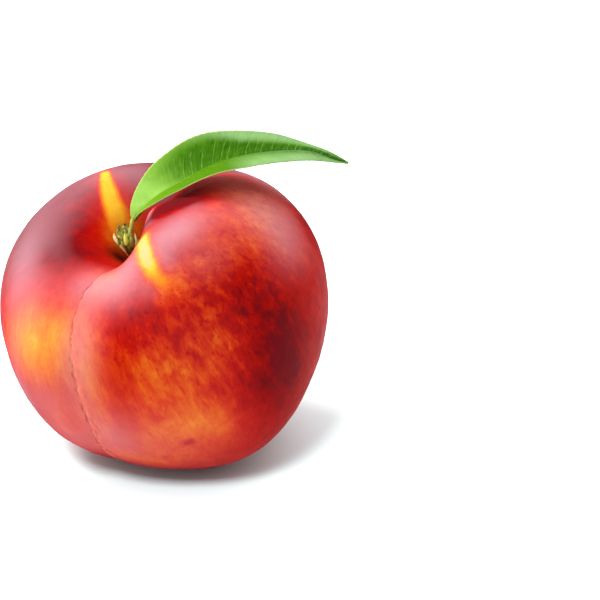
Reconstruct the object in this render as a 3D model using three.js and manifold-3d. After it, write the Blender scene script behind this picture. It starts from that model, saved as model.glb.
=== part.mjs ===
// Peach with its stem cluster and one leaf. Millimetres, +Z up, resting on a
// small flat spot whose centre is the origin.
import * as THREE from 'three';
import { mergeVertices } from 'three/addons/utils/BufferGeometryUtils.js';
import Module from 'manifold-3d';

const wasm = await Module();
wasm.setup();

// ------------------------------------------------------------ fruit dimensions
const EQUATOR_RADIUS = 39.15;        // largest radius round the fruit's own axis
const STEM_END_HEIGHT = 30.81;       // centre to the stem end, before the lobes rise
const BLOSSOM_END_HEIGHT = 36.46;    // centre to the blossom end
const PROFILE_POWER = 2.15;          // 2 is an ellipse, more is squarer
const FRUIT_CENTRE = [-3.321, 0.132, 35.872];
// the fruit's own axes in the part frame: towards the suture, across it, up the stem
const AXIS_SUTURE = [-0.43022663, -0.85929895, -0.27660505];
const AXIS_CROSS = [0.88780486, -0.45823688, 0.04267882];
const AXIS_STEM = [-0.1634245, -0.22720974, 0.9600355];
const CAVITY_DEPTH = 0.5693;         // part of the radius taken at the bottom
const CAVITY_HALF_ANGLE = 0.34;      // radians
const CAVITY_POWER = 2.455;
const CAVITY_LONGER_NEAR = 0.438;    // the cavity is longer along the suture
const CAVITY_LONGER_FAR = 0.7;
// the wall under the near lobe stands closer in: amount, angle round the axis, half angle
const CAVITY_TIGHTER = { amount: 0.524, phi: 1.405, w: 0.678 };
const SUTURE_VALLEY_DEPTH = 3.71;
const SUTURE_VALLEY_HALF_ANGLE = 0.30;
const SUTURE_CREASE_DEPTH = 1.2;
const SUTURE_CREASE_HALF_ANGLE = 0.07;
const SUTURE_RIGHT_WIDTH = 1.077;
const SUTURE_LEFT_WIDTH = 1.3;
const SUTURE_BEND = [-0.04398, -0.05207];
const FAR_GROOVE_DEPTH = 3.0;
const FAR_GROOVE_HALF_ANGLE = 0.5;
// swellings: height, angle round the axis, half angle round it, angle from the
// stem end, half angle from it
const LOBE_RIGHT = { h: 5.2127, phi: 1.103, w: 0.55 };
const LOBE_LEFT = { h: -0.3549, phi: -0.7, w: 0.6 };
const SHOULDER = { right: 3.1049, left: -1.1866, theta: 0.7, w: 0.4 };
const RIM_SWELL = { h: 4.5, phi: 2.75, w: 0.4, theta: 0.35, tw: 0.28 };
const NEAR_SWELL = { h: 2.516, phi: 0.978, w: 1.29, theta: 0.301, tw: 0.284 };
const CREST_SWELL = { h: 0.551, phi: 0.45, w: 0.35, theta: 0.38, tw: 0.12 };
// low-order unevenness of the round shape
const UNEVEN = [-0.043554, 0.027548, -0.019475, -0.004356, -0.005933, -0.001386, -0.006299,
  0.011692, 0.003055, -0.000673, 0.002048, -0.009385, -0.005718, -0.015047, 0.032551];
const FRUIT_ROUND_STEPS = 64;
const FRUIT_LONG_STEPS = 42;

// ------------------------------------------------------- stem cluster dimensions
const SPUR_FOOT_GAP = 0.45;          // the spur's foot is trimmed this far off the cavity wall
const SPUR_FOOT = [-5.5, -2.8, 48.2];
const SPUR_TOP = [-8.33, -3.57, 54.61];
const SPUR_PROFILE = [[0, 0], [1.35, 0], [1.2, 0.12], [1.12, 0.3], [1.2, 0.55], [1.42, 0.8], [1.5, 0.92], [1.25, 1], [0, 1.02]];
const SPUR_FLUTES = 7;
const SPUR_FLUTE_DEPTH = 0.08;
const BUDS = [
  { name: 'bud_center', foot: [-8.78, -6.44, 54.05], tip: [-8.93, -5.62, 57.37], r: 0.72, color: 0xa9c24a },
  { name: 'bud_left', foot: [-9.67, -4.53, 55.39], tip: [-10.34, -3.66, 58.32], r: 0.85, color: 0x8a9148 },
  { name: 'bud_rear', foot: [-9.0, -1.9, 54.92], tip: [-9.27, -1.07, 57.5], r: 0.75, color: 0x7d8a45 },
  { name: 'bud_right', foot: [-5.7, -4.69, 53.56], tip: [-5.52, -3.79, 55.34], r: 0.5, color: 0x8c9a55 },
];
const SCALE_LEFT = { points: [[-10.03, -5.44, 52.86], [-10.95, -4.96, 54.68], [-11.68, -4.33, 56.58]], width: 1.9, thick: 0.4 };
const STIPULE_RIGHT = { points: [[-6.25, -5.66, 53.84], [-6.29, -5.23, 55.31], [-6.57, -4.61, 56.69]], width: 1.0, thick: 0.4 };

// --------------------------------------------------------------- leaf dimensions
const PETIOLE_PATH = [[-7.91, -3.67, 55.36], [-7.75, -3.64, 56.41], [-7.5, -3.35, 57.81], [-7.2, -2.98, 59.4], [-6.3, -2.72, 60.95]];
const PETIOLE_RADIUS = 0.62;
const LEAF_THICK = 0.6;
const LEAF_FOLD_ROUNDING = 0.14;
const LEAF_MIDRIB = [[-7.39, -2.96, 59.17], [-6.2, -2.66, 61.07], [-3.99, -2.36, 63.22], [-2.0, -2.27, 64.89], [-0.28, -2.24, 66.19], [1.7, -2.25, 67.39], [3.68, -2.18, 68.54], [5.9, -1.87, 69.72], [8.34, -1.32, 70.95], [10.77, -0.54, 71.97], [13.2, 0.32, 72.68], [17.88, 2.38, 73.38], [22.52, 4.55, 73.34], [27.19, 6.8, 72.98], [31.89, 8.89, 72.27], [35.43, 10.21, 71.28], [38.28, 10.87, 69.83], [40.89, 11.21, 68.61], [43.41, 11.6, 68.03]];
const LEAF_FAR_EDGE = [[-7.75, -2.3, 60.41], [-7.82, -1.09, 61.94], [-7.35, 0.43, 63.47], [-6.44, 1.74, 65.47], [-5.41, 2.94, 67.01], [-3.88, 3.72, 69.09], [-2.11, 4.33, 70.99], [0.47, 5.3, 72.93], [3.52, 6.23, 75.03], [6.78, 7.36, 76.3], [10.05, 8.21, 77.06], [15.64, 10.15, 76.8], [21.03, 11.53, 76.15], [26.21, 12.86, 74.94], [31.18, 13.9, 72.98], [34.97, 14.14, 71.54], [38.65, 13.57, 70.31], [41.26, 12.59, 69.17], [43.42, 11.85, 68.08]];
const LEAF_NEAR_EDGE = [[-6.77, -3.48, 59.77], [-5.49, -4.83, 61.91], [-2.69, -6.37, 64.35], [-0.26, -7.79, 66.42], [1.67, -9.03, 68.04], [3.69, -10.02, 69.56], [5.69, -10.64, 70.87], [7.9, -10.85, 72.12], [10.32, -10.68, 73.14], [12.83, -9.95, 73.86], [15.33, -8.84, 74.16], [19.66, -6.14, 73.89], [24.01, -2.91, 73.45], [28.63, 0.57, 72.74], [33.06, 3.99, 71.63], [36.36, 6.41, 70.61], [38.96, 8.23, 69.65], [41.23, 9.74, 68.8], [43.41, 11.35, 67.97]];
const LEAF_LONG_STEPS = 44;
const LEAF_CROSS_STEPS = 12;

// ----------------------------------------------------------------------- helpers
const V = (a) => new THREE.Vector3(a[0], a[1], a[2]);
const smooth = (a, b, x) => { const t = Math.min(Math.max((x - a) / (b - a), 0), 1); return t * t * (3 - 2 * t); };
const wrap = (a) => { const t = (a + Math.PI) % (2 * Math.PI); return (t < 0 ? t + 2 * Math.PI : t) - Math.PI; };
const bell = (x, w) => Math.exp(-((x / w) ** 2));

function toManifold(geometry) {
  const g = geometry.clone();
  g.deleteAttribute('normal');
  g.deleteAttribute('uv');
  const merged = mergeVertices(g, 1e-4);
  return new wasm.Manifold(new wasm.Mesh({
    numProp: 3,
    vertProperties: new Float32Array(merged.attributes.position.array),
    triVerts: new Uint32Array(merged.index.array),
  }));
}

function fromManifold(solid) {
  const mesh = solid.getMesh();
  const g = new THREE.BufferGeometry();
  const n = mesh.vertProperties.length / mesh.numProp;
  const pos = new Float32Array(n * 3);
  for (let i = 0; i < n; i++) for (let k = 0; k < 3; k++) pos[3 * i + k] = mesh.vertProperties[i * mesh.numProp + k];
  g.setAttribute('position', new THREE.BufferAttribute(pos, 3));
  g.setIndex(new THREE.BufferAttribute(new Uint32Array(mesh.triVerts), 1));
  g.computeVertexNormals();
  return g;
}

function makeMesh(name, geometry, color, roughness) {
  const mesh = new THREE.Mesh(geometry, new THREE.MeshStandardMaterial({ color, roughness, metalness: 0 }));
  mesh.name = name;
  return mesh;
}

// ------------------------------------------------------------------------- fruit
const sutureLine = (theta) => SUTURE_BEND[0] * Math.sin(2 * theta) + SUTURE_BEND[1] * Math.sin(3 * theta) * Math.sin(theta);

function fruitRadius(theta, phi) {
  const st = Math.sin(theta), ct = Math.cos(theta);
  const x = st * Math.cos(phi), y = st * Math.sin(phi), z = ct;
  const blend = 0.5 + 0.5 * Math.tanh(2.5 * ct);
  const b = BLOSSOM_END_HEIGHT + (STEM_END_HEIGHT - BLOSSOM_END_HEIGHT) * blend;
  let r = ((Math.abs(st) / EQUATOR_RADIUS) ** PROFILE_POWER + (Math.abs(ct) / b) ** PROFILE_POWER) ** (-1 / PROFILE_POWER);
  const u = UNEVEN;
  r *= 1 + u[0] * x + u[1] * y + u[2] * z + u[3] * x * y + u[4] * y * z + u[5] * (3 * z * z - 1)
    + u[6] * x * z + u[7] * (x * x - y * y) + u[8] * y * (3 * x * x - y * y) + u[9] * x * y * z
    + u[10] * y * (5 * z * z - 1) + u[11] * z * (5 * z * z - 3) + u[12] * x * (5 * z * z - 1)
    + u[13] * z * (x * x - y * y) + u[14] * x * (x * x - 3 * y * y);
  // stem cavity, longer along the suture
  const cx = Math.cos(phi), sx = Math.sin(phi);
  const along = CAVITY_HALF_ANGLE * (1 + (cx > 0 ? CAVITY_LONGER_NEAR : CAVITY_LONGER_FAR));
  const tight = 1 - CAVITY_TIGHTER.amount * bell(wrap(phi - CAVITY_TIGHTER.phi), CAVITY_TIGHTER.w);
  const rho = theta * Math.sqrt((cx / along) ** 2 + (sx / CAVITY_HALF_ANGLE) ** 2) / tight;
  r *= 1 - CAVITY_DEPTH * Math.exp(-(rho ** CAVITY_POWER));
  // shoulders, lobes and swellings
  const fromPole = smooth(0, 0.3, theta);
  r += fromPole * (sx > 0 ? SHOULDER.right : SHOULDER.left) * sx * sx * bell(theta - SHOULDER.theta, SHOULDER.w);
  const lobe = smooth(0.15, 0.7, theta) * smooth(3.0, 2.0, theta);
  for (const q of [LOBE_RIGHT, LOBE_LEFT]) r += q.h * bell(wrap(phi - q.phi), q.w) * lobe;
  for (const q of [RIM_SWELL, NEAR_SWELL, CREST_SWELL]) r += q.h * bell(wrap(phi - q.phi), q.w) * bell(theta - q.theta, q.tw) * fromPole;
  // suture: a wide valley with a narrow crease in it
  const nearTop = bell(theta - 0.55, 0.38);
  const sp = wrap(phi - sutureLine(theta));
  const valley = SUTURE_VALLEY_DEPTH * (0.35 + 0.65 * nearTop) * smooth(0, 0.35, theta) * smooth(3.14, 2.5, theta);
  const width = SUTURE_VALLEY_HALF_ANGLE * (1 + 0.5 * nearTop)
    / Math.max(Math.sin(Math.min(Math.max(theta, 0.35), 2.8)), 0.3) ** 0.7 * (sp > 0 ? SUTURE_RIGHT_WIDTH : SUTURE_LEFT_WIDTH);
  r -= valley * Math.exp(-(Math.abs(sp / width) ** 1.5));
  const crease = SUTURE_CREASE_DEPTH * (0.5 + 0.5 * nearTop) * smooth(0.1, 0.4, theta) * smooth(3.1, 2.6, theta);
  r -= crease * Math.exp(-(Math.abs(sp / SUTURE_CREASE_HALF_ANGLE) ** 1.3));
  // shallow groove on the far side
  r -= FAR_GROOVE_DEPTH * fromPole * bell(theta - 0.5, 0.45) * Math.exp(-(Math.abs(wrap(phi - Math.PI) / FAR_GROOVE_HALF_ANGLE) ** 1.6));
  return r;
}

function fruitPoint(theta, phi, extra) {
  const r = fruitRadius(theta, phi) + extra;
  return new THREE.Vector3()
    .addScaledVector(V(AXIS_SUTURE), r * Math.sin(theta) * Math.cos(phi))
    .addScaledVector(V(AXIS_CROSS), r * Math.sin(theta) * Math.sin(phi))
    .addScaledVector(V(AXIS_STEM), r * Math.cos(theta))
    .add(V(FRUIT_CENTRE));
}

function fruitSolid(extra) {
  const g = new THREE.SphereGeometry(1, FRUIT_ROUND_STEPS, FRUIT_LONG_STEPS);
  const pos = g.attributes.position;
  let k = 0;
  for (let iy = 0; iy <= FRUIT_LONG_STEPS; iy++) {
    const v = iy / FRUIT_LONG_STEPS;
    // closer steps round the cavity, wider ones below the middle
    const theta = Math.PI * (v - 0.055 * Math.sin(2 * Math.PI * v));
    for (let ix = 0; ix <= FRUIT_ROUND_STEPS; ix++) {
      const t = 2 * ((ix % FRUIT_ROUND_STEPS) / FRUIT_ROUND_STEPS) - 1;
      // closer steps at the suture
      const phi = Math.PI * t - 0.62 * Math.sin(Math.PI * t) + sutureLine(theta);
      const pole = iy === 0 || iy === FRUIT_LONG_STEPS;
      const p = fruitPoint(iy === 0 ? 0 : iy === FRUIT_LONG_STEPS ? Math.PI : theta, pole ? 0 : phi, extra);
      pos.setXYZ(k++, p.x, p.y, p.z);
    }
  }
  return toManifold(g);
}

function buildFruit() {
  const below = new THREE.BoxGeometry(120, 120, 40);
  below.translate(0, 0, -20);
  return fromManifold(fruitSolid(0).subtract(toManifold(below)));
}

// ------------------------------------------------------------------------- stem
function alongAxis(geometry, foot, tip) {
  const dir = V(tip).sub(V(foot)).normalize();
  geometry.applyQuaternion(new THREE.Quaternion().setFromUnitVectors(new THREE.Vector3(0, 1, 0), dir));
  geometry.translate(foot[0], foot[1], foot[2]);
  return geometry;
}

function buildSpur() {
  const len = V(SPUR_TOP).distanceTo(V(SPUR_FOOT));
  const profile = SPUR_PROFILE.map(([r, t]) => new THREE.Vector2(r, t * len));
  const g = new THREE.LatheGeometry(profile, 21);
  const pos = g.attributes.position;
  for (let i = 0; i < pos.count; i++) {
    const x = pos.getX(i), y = pos.getY(i), z = pos.getZ(i);
    const a = Math.atan2(z, x), f = 1 + SPUR_FLUTE_DEPTH * Math.cos(SPUR_FLUTES * a) * Math.min(1, Math.max(0, y / len));
    pos.setXYZ(i, x * f, y, z * f);
  }
  return fromManifold(toManifold(alongAxis(g, SPUR_FOOT, SPUR_TOP)).subtract(fruitSolid(SPUR_FOOT_GAP)));
}

function buildBud(bud) {
  const len = V(bud.tip).distanceTo(V(bud.foot));
  const shape = [[0, 0], [0.55, 0.02], [0.9, 0.16], [1, 0.34], [0.86, 0.56], [0.56, 0.78], [0.22, 0.94], [0, 1]];
  const g = new THREE.LatheGeometry(shape.map(([r, t]) => new THREE.Vector2(r * bud.r, t * len)), 12);
  return fromManifold(toManifold(alongAxis(g, bud.foot, bud.tip)));
}

// a thin blade: BoxGeometry bent along three curves (middle line and two edges)
function bentBlade(middle, edgeA, edgeB, nLong, nCross, thick, rounding) {
  const cm = new THREE.CatmullRomCurve3(middle.map(V)), ca = new THREE.CatmullRomCurve3(edgeA.map(V)), cb = new THREE.CatmullRomCurve3(edgeB.map(V));
  const mid = (u, v) => {
    const c = cm.getPoint(u), a = ca.getPoint(u).sub(c), b = cb.getPoint(u).sub(c);
    const s = (Math.sqrt(v * v + rounding * rounding) - rounding) / (Math.sqrt(1 + rounding * rounding) - rounding);
    return c.addScaledVector(a.clone().sub(b), 0.5 * v).addScaledVector(a.add(b), 0.5 * s);
  };
  const g = new THREE.BoxGeometry(1, 2, 1, nLong, nCross, 1);
  const pos = g.attributes.position;
  for (let i = 0; i < pos.count; i++) {
    const u = pos.getX(i) + 0.5, v = pos.getY(i), w = pos.getZ(i);
    const e = 0.01, u0 = Math.max(0, u - e), u1 = Math.min(1, u + e), v0 = Math.max(-1, v - e), v1 = Math.min(1, v + e);
    const n = mid(u1, v).sub(mid(u0, v)).cross(mid(u, v1).sub(mid(u, v0))).normalize();
    const t = thick * (1 - 0.45 * Math.abs(v) ** 3);
    const p = mid(u, v).addScaledVector(n, w * t);
    pos.setXYZ(i, p.x, p.y, p.z);
  }
  return g;
}

function buildLeaf() {
  const blade = toManifold(bentBlade(LEAF_MIDRIB, LEAF_FAR_EDGE, LEAF_NEAR_EDGE, LEAF_LONG_STEPS, LEAF_CROSS_STEPS, LEAF_THICK, LEAF_FOLD_ROUNDING));
  const circle = new THREE.Shape();
  circle.absarc(0, 0, PETIOLE_RADIUS, 0, 2 * Math.PI, false);
  const petiole = toManifold(new THREE.ExtrudeGeometry(circle, {
    steps: 12, curveSegments: 5, bevelEnabled: false,
    extrudePath: new THREE.CatmullRomCurve3(PETIOLE_PATH.map(V)),
  }));
  return fromManifold(blade.add(petiole));
}

function buildScale(scale) {
  const pts = scale.points.map(V);
  const axis = pts[2].clone().sub(pts[0]).normalize();
  const outward = pts[1].clone().sub(V(SPUR_TOP));
  outward.addScaledVector(axis, -outward.dot(axis)).normalize();
  const side = new THREE.Vector3().crossVectors(axis, outward).normalize();
  const widths = [0.6, 1, 0.25];
  const edge = (s) => pts.map((p, i) => p.clone().addScaledVector(side, s * widths[i] * scale.width / 2)
    .addScaledVector(outward, -0.12 * widths[i] * scale.width)).map((p) => [p.x, p.y, p.z]);
  return fromManifold(toManifold(bentBlade(scale.points, edge(1), edge(-1), 8, 4, scale.thick, 0.5)));
}

// --------------------------------------------------------------------- assembly
const peach = new THREE.Group();
peach.name = 'peach';
peach.add(makeMesh('fruit', buildFruit(), 0xc4452f, 0.55));
peach.add(makeMesh('spur', buildSpur(), 0x7f9a3a, 0.7));
for (const bud of BUDS) peach.add(makeMesh(bud.name, buildBud(bud), bud.color, 0.65));
peach.add(makeMesh('scale_left', buildScale(SCALE_LEFT), 0xc9c878, 0.6));
peach.add(makeMesh('stipule_right', buildScale(STIPULE_RIGHT), 0xb8bf7c, 0.6));
peach.add(makeMesh('leaf', buildLeaf(), 0x57a02a, 0.45));

export default peach;
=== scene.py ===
import math

import bpy
import numpy as np
from mathutils import Matrix, Vector, noise


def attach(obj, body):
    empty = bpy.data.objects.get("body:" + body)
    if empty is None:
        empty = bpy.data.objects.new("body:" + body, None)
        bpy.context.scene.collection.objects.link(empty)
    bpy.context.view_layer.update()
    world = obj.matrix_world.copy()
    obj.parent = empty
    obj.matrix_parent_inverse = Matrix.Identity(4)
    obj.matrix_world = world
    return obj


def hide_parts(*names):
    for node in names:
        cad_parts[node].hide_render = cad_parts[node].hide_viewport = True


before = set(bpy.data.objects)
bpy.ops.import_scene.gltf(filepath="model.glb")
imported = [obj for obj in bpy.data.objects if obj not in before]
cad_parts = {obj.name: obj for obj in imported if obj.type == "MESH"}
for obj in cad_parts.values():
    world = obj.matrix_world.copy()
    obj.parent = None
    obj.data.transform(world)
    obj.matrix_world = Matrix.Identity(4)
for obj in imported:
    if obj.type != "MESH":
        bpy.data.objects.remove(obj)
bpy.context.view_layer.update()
MM = 0.001
rng = np.random.default_rng(7)
scene = bpy.context.scene
scene.view_settings.view_transform = "Standard"
scene.view_settings.look = "None"

# ------------------------------------------------------------------ camera
cam_data = bpy.data.cameras.new("camera")
cam_data.sensor_width = 36.0
cam_data.lens = 176.4706
cam_data.clip_start, cam_data.clip_end = 0.01, 20.0
camera = bpy.data.objects.new("camera", cam_data)
scene.collection.objects.link(camera)
ELEVATION = math.radians(24.0)
c_e, s_e = math.cos(ELEVATION), math.sin(ELEVATION)
camera.matrix_world = Matrix((
    (1.0, 0.0, 0.0, 0.0318883),
    (0.0, s_e, -c_e, -0.6387175),
    (0.0, c_e, s_e, 0.3220084),
    (0.0, 0.0, 0.0, 1.0)))
scene.camera = camera


# ------------------------------------------------------------------ helpers
def lin(r, g, b):
    """sRGB 0-255 to linear RGBA."""
    out = []
    for c in (r, g, b):
        c /= 255.0
        out.append(c / 12.92 if c <= 0.04045 else ((c + 0.055) / 1.055) ** 2.4)
    return (*out, 1.0)


def smooth(a, b, x):
    t = np.clip((x - a) / (b - a), 0.0, 1.0)
    return t * t * (3 - 2 * t)


def wrap(a):
    return (a + np.pi) % (2 * np.pi) - np.pi


def bell(x, w):
    return np.exp(-((x / w) ** 2))


def fractal(points, scale, octaves, seed):
    """Signed fractal noise at numpy points (n,3), about -1 to 1."""
    off = Vector((seed * 13.7, seed * 5.1, seed * 9.3))
    return np.array([noise.fractal(Vector(p) * scale + off, 0.6, 2.1, octaves) for p in points])


def make_object(name, verts, faces, smooth_shading=True):
    mesh = bpy.data.meshes.new(name)
    mesh.from_pydata([tuple(v) for v in verts], [], [tuple(f) for f in faces])
    mesh.update()
    if smooth_shading:
        mesh.polygons.foreach_set("use_smooth", [True] * len(mesh.polygons))
    obj = bpy.data.objects.new(name, mesh)
    scene.collection.objects.link(obj)
    return obj


def add_float(obj, name, values):
    a = obj.data.attributes.new(name, "FLOAT", "POINT")
    a.data.foreach_set("value", np.asarray(values, np.float32).ravel())


def add_vector(obj, name, values):
    a = obj.data.attributes.new(name, "FLOAT_VECTOR", "POINT")
    a.data.foreach_set("vector", np.asarray(values, np.float32).ravel())


def grid_faces(nu, nv, wrap_v, base=0, flip=False):
    """Quads of an nu x nv grid of points; v closes on itself if wrap_v."""
    out = []
    for i in range(nu - 1):
        for j in range(nv if wrap_v else nv - 1):
            k = (j + 1) % nv
            q = (base + i * nv + j, base + i * nv + k, base + (i + 1) * nv + k, base + (i + 1) * nv + j)
            out.append(q[::-1] if flip else q)
    return out


def catmull(points, n):
    """n points along a smooth curve through the stations."""
    p = np.asarray(points, float)
    p = np.vstack([2 * p[0] - p[1], p, 2 * p[-1] - p[-2]])
    m = len(p) - 3
    t = np.linspace(0, m, n)
    k = np.minimum(t.astype(int), m - 1)
    f = (t - k)[:, None]
    a, b, c, d = p[k], p[k + 1], p[k + 2], p[k + 3]
    return 0.5 * (2 * b + (c - a) * f + (2 * a - 5 * b + 4 * c - d) * f ** 2 + (3 * b - 3 * c + d - a) * f ** 3)


def soften(p, sigma):
    """Smooths a polyline, keeping its two ends."""
    r = int(3 * sigma)
    w = np.exp(-0.5 * (np.arange(-r, r + 1) / sigma) ** 2)
    w /= w.sum()
    head = 2 * p[0] - p[1:r + 1][::-1]
    tail = 2 * p[-1] - p[-r - 1:-1][::-1]
    q = np.vstack([head, p, tail])
    return np.stack([np.convolve(q[:, i], w, "valid") for i in range(q.shape[1])], 1)


class Nodes:
    """A small helper for building a material's node tree."""

    def __init__(self, name):
        self.material = bpy.data.materials.new(name)
        self.material.use_nodes = True
        self.tree = self.material.node_tree
        self.tree.nodes.clear()
        self.x = 0

    def node(self, kind, **inputs):
        n = self.tree.nodes.new(kind)
        self.x += 40
        n.location = (self.x, 0)
        for k, v in inputs.items():
            self.put(n, k.replace("_", " "), v)
        return n

    def put(self, n, key, v):
        socket = n.inputs[key]
        if isinstance(v, bpy.types.NodeSocket):
            self.tree.links.new(v, socket)
        else:
            socket.default_value = v

    def attr(self, name, output="Fac"):
        n = self.tree.nodes.new("ShaderNodeAttribute")
        n.attribute_name = name
        return n.outputs[output]

    def math(self, op, a, b=0.0, c=None, clamp=False):
        n = self.tree.nodes.new("ShaderNodeMath")
        n.operation = op
        n.use_clamp = clamp
        self.put(n, 0, a)
        self.put(n, 1, b)
        if c is not None:
            self.put(n, 2, c)
        return n.outputs[0]

    def add(self, a, b):
        return self.math("ADD", a, b)

    def mul(self, a, b):
        return self.math("MULTIPLY", a, b)

    def noise(self, vector, scale, detail=3.0, roughness=0.55, distortion=0.0):
        n = self.tree.nodes.new("ShaderNodeTexNoise")
        n.inputs["Scale"].default_value = scale
        n.inputs["Detail"].default_value = detail
        n.inputs["Roughness"].default_value = roughness
        n.inputs["Distortion"].default_value = distortion
        self.tree.links.new(vector, n.inputs["Vector"])
        return n.outputs["Fac"]

    def scale(self, vector, s):
        n = self.tree.nodes.new("ShaderNodeVectorMath")
        n.operation = "MULTIPLY"
        self.tree.links.new(vector, n.inputs[0])
        n.inputs[1].default_value = s
        return n.outputs[0]

    def ramp(self, fac, stops, mode="LINEAR"):
        n = self.tree.nodes.new("ShaderNodeValToRGB")
        n.color_ramp.interpolation = mode
        while len(n.color_ramp.elements) > 1:
            n.color_ramp.elements.remove(n.color_ramp.elements[-1])
        n.color_ramp.elements[0].position = stops[0][0]
        n.color_ramp.elements[0].color = stops[0][1]
        for pos, col in stops[1:]:
            e = n.color_ramp.elements.new(pos)
            e.color = col
        self.put(n, "Fac", fac)
        return n.outputs["Color"]

    def step(self, fac, lo, hi, a=0.0, b=1.0):
        n = self.tree.nodes.new("ShaderNodeMapRange")
        n.interpolation_type = "SMOOTHSTEP"
        self.put(n, "Value", fac)
        n.inputs["From Min"].default_value = lo
        n.inputs["From Max"].default_value = hi
        n.inputs["To Min"].default_value = a
        n.inputs["To Max"].default_value = b
        return n.outputs["Result"]

    def mix(self, fac, a, b, mode="MIX"):
        n = self.tree.nodes.new("ShaderNodeMix")
        n.data_type = "RGBA"
        n.blend_type = mode
        n.clamp_factor = True
        self.put(n, 0, fac)
        self.put(n, 6, a)
        self.put(n, 7, b)
        return n.outputs[2]

    def bump(self, height, distance, strength=1.0, normal=None):
        n = self.tree.nodes.new("ShaderNodeBump")
        n.inputs["Strength"].default_value = strength
        n.inputs["Distance"].default_value = distance
        self.tree.links.new(height, n.inputs["Height"])
        if normal is not None:
            self.tree.links.new(normal, n.inputs["Normal"])
        return n.outputs["Normal"]

    def object_coords(self):
        return self.tree.nodes.new("ShaderNodeTexCoord").outputs["Object"]

    def principled(self, color, **settings):
        n = self.tree.nodes.new("ShaderNodeBsdfPrincipled")
        self.put(n, "Base Color", color)
        for k, v in settings.items():
            self.put(n, k.replace("_", " "), v)
        return n

    def output(self, shader):
        n = self.tree.nodes.new("ShaderNodeOutputMaterial")
        self.tree.links.new(shader, n.inputs["Surface"])
        return self.material


# ------------------------------------------------------------------- fruit
EQUATOR_RADIUS = 39.15
STEM_END_HEIGHT = 30.81
BLOSSOM_END_HEIGHT = 36.46
PROFILE_POWER = 2.15
FRUIT_CENTRE = np.array([-3.321, 0.132, 35.872])
AXES = np.array([[-0.43022663, -0.85929895, -0.27660505],
                 [0.88780486, -0.45823688, 0.04267882],
                 [-0.1634245, -0.22720974, 0.9600355]])
CAVITY_DEPTH, CAVITY_HALF_ANGLE, CAVITY_POWER = 0.5693, 0.34, 2.455
CAVITY_LONGER_NEAR, CAVITY_LONGER_FAR = 0.438, 0.7
SUTURE_VALLEY_DEPTH, SUTURE_VALLEY_HALF_ANGLE = 3.71, 0.30
SUTURE_CREASE_DEPTH, SUTURE_CREASE_HALF_ANGLE = 0.75, 0.08
SUTURE_RIGHT_WIDTH, SUTURE_LEFT_WIDTH = 1.077, 1.3
SUTURE_BEND = (-0.04398, -0.05207)
FAR_GROOVE_DEPTH, FAR_GROOVE_HALF_ANGLE = 3.0, 0.5
UNEVEN = [-0.043554, 0.027548, -0.019475, -0.004356, -0.005933, -0.001386, -0.006299,
          0.011692, 0.003055, -0.000673, 0.002048, -0.009385, -0.005718, -0.015047, 0.032551]


def suture_line(theta):
    return SUTURE_BEND[0] * np.sin(2 * theta) + SUTURE_BEND[1] * np.sin(3 * theta) * np.sin(theta)


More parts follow.
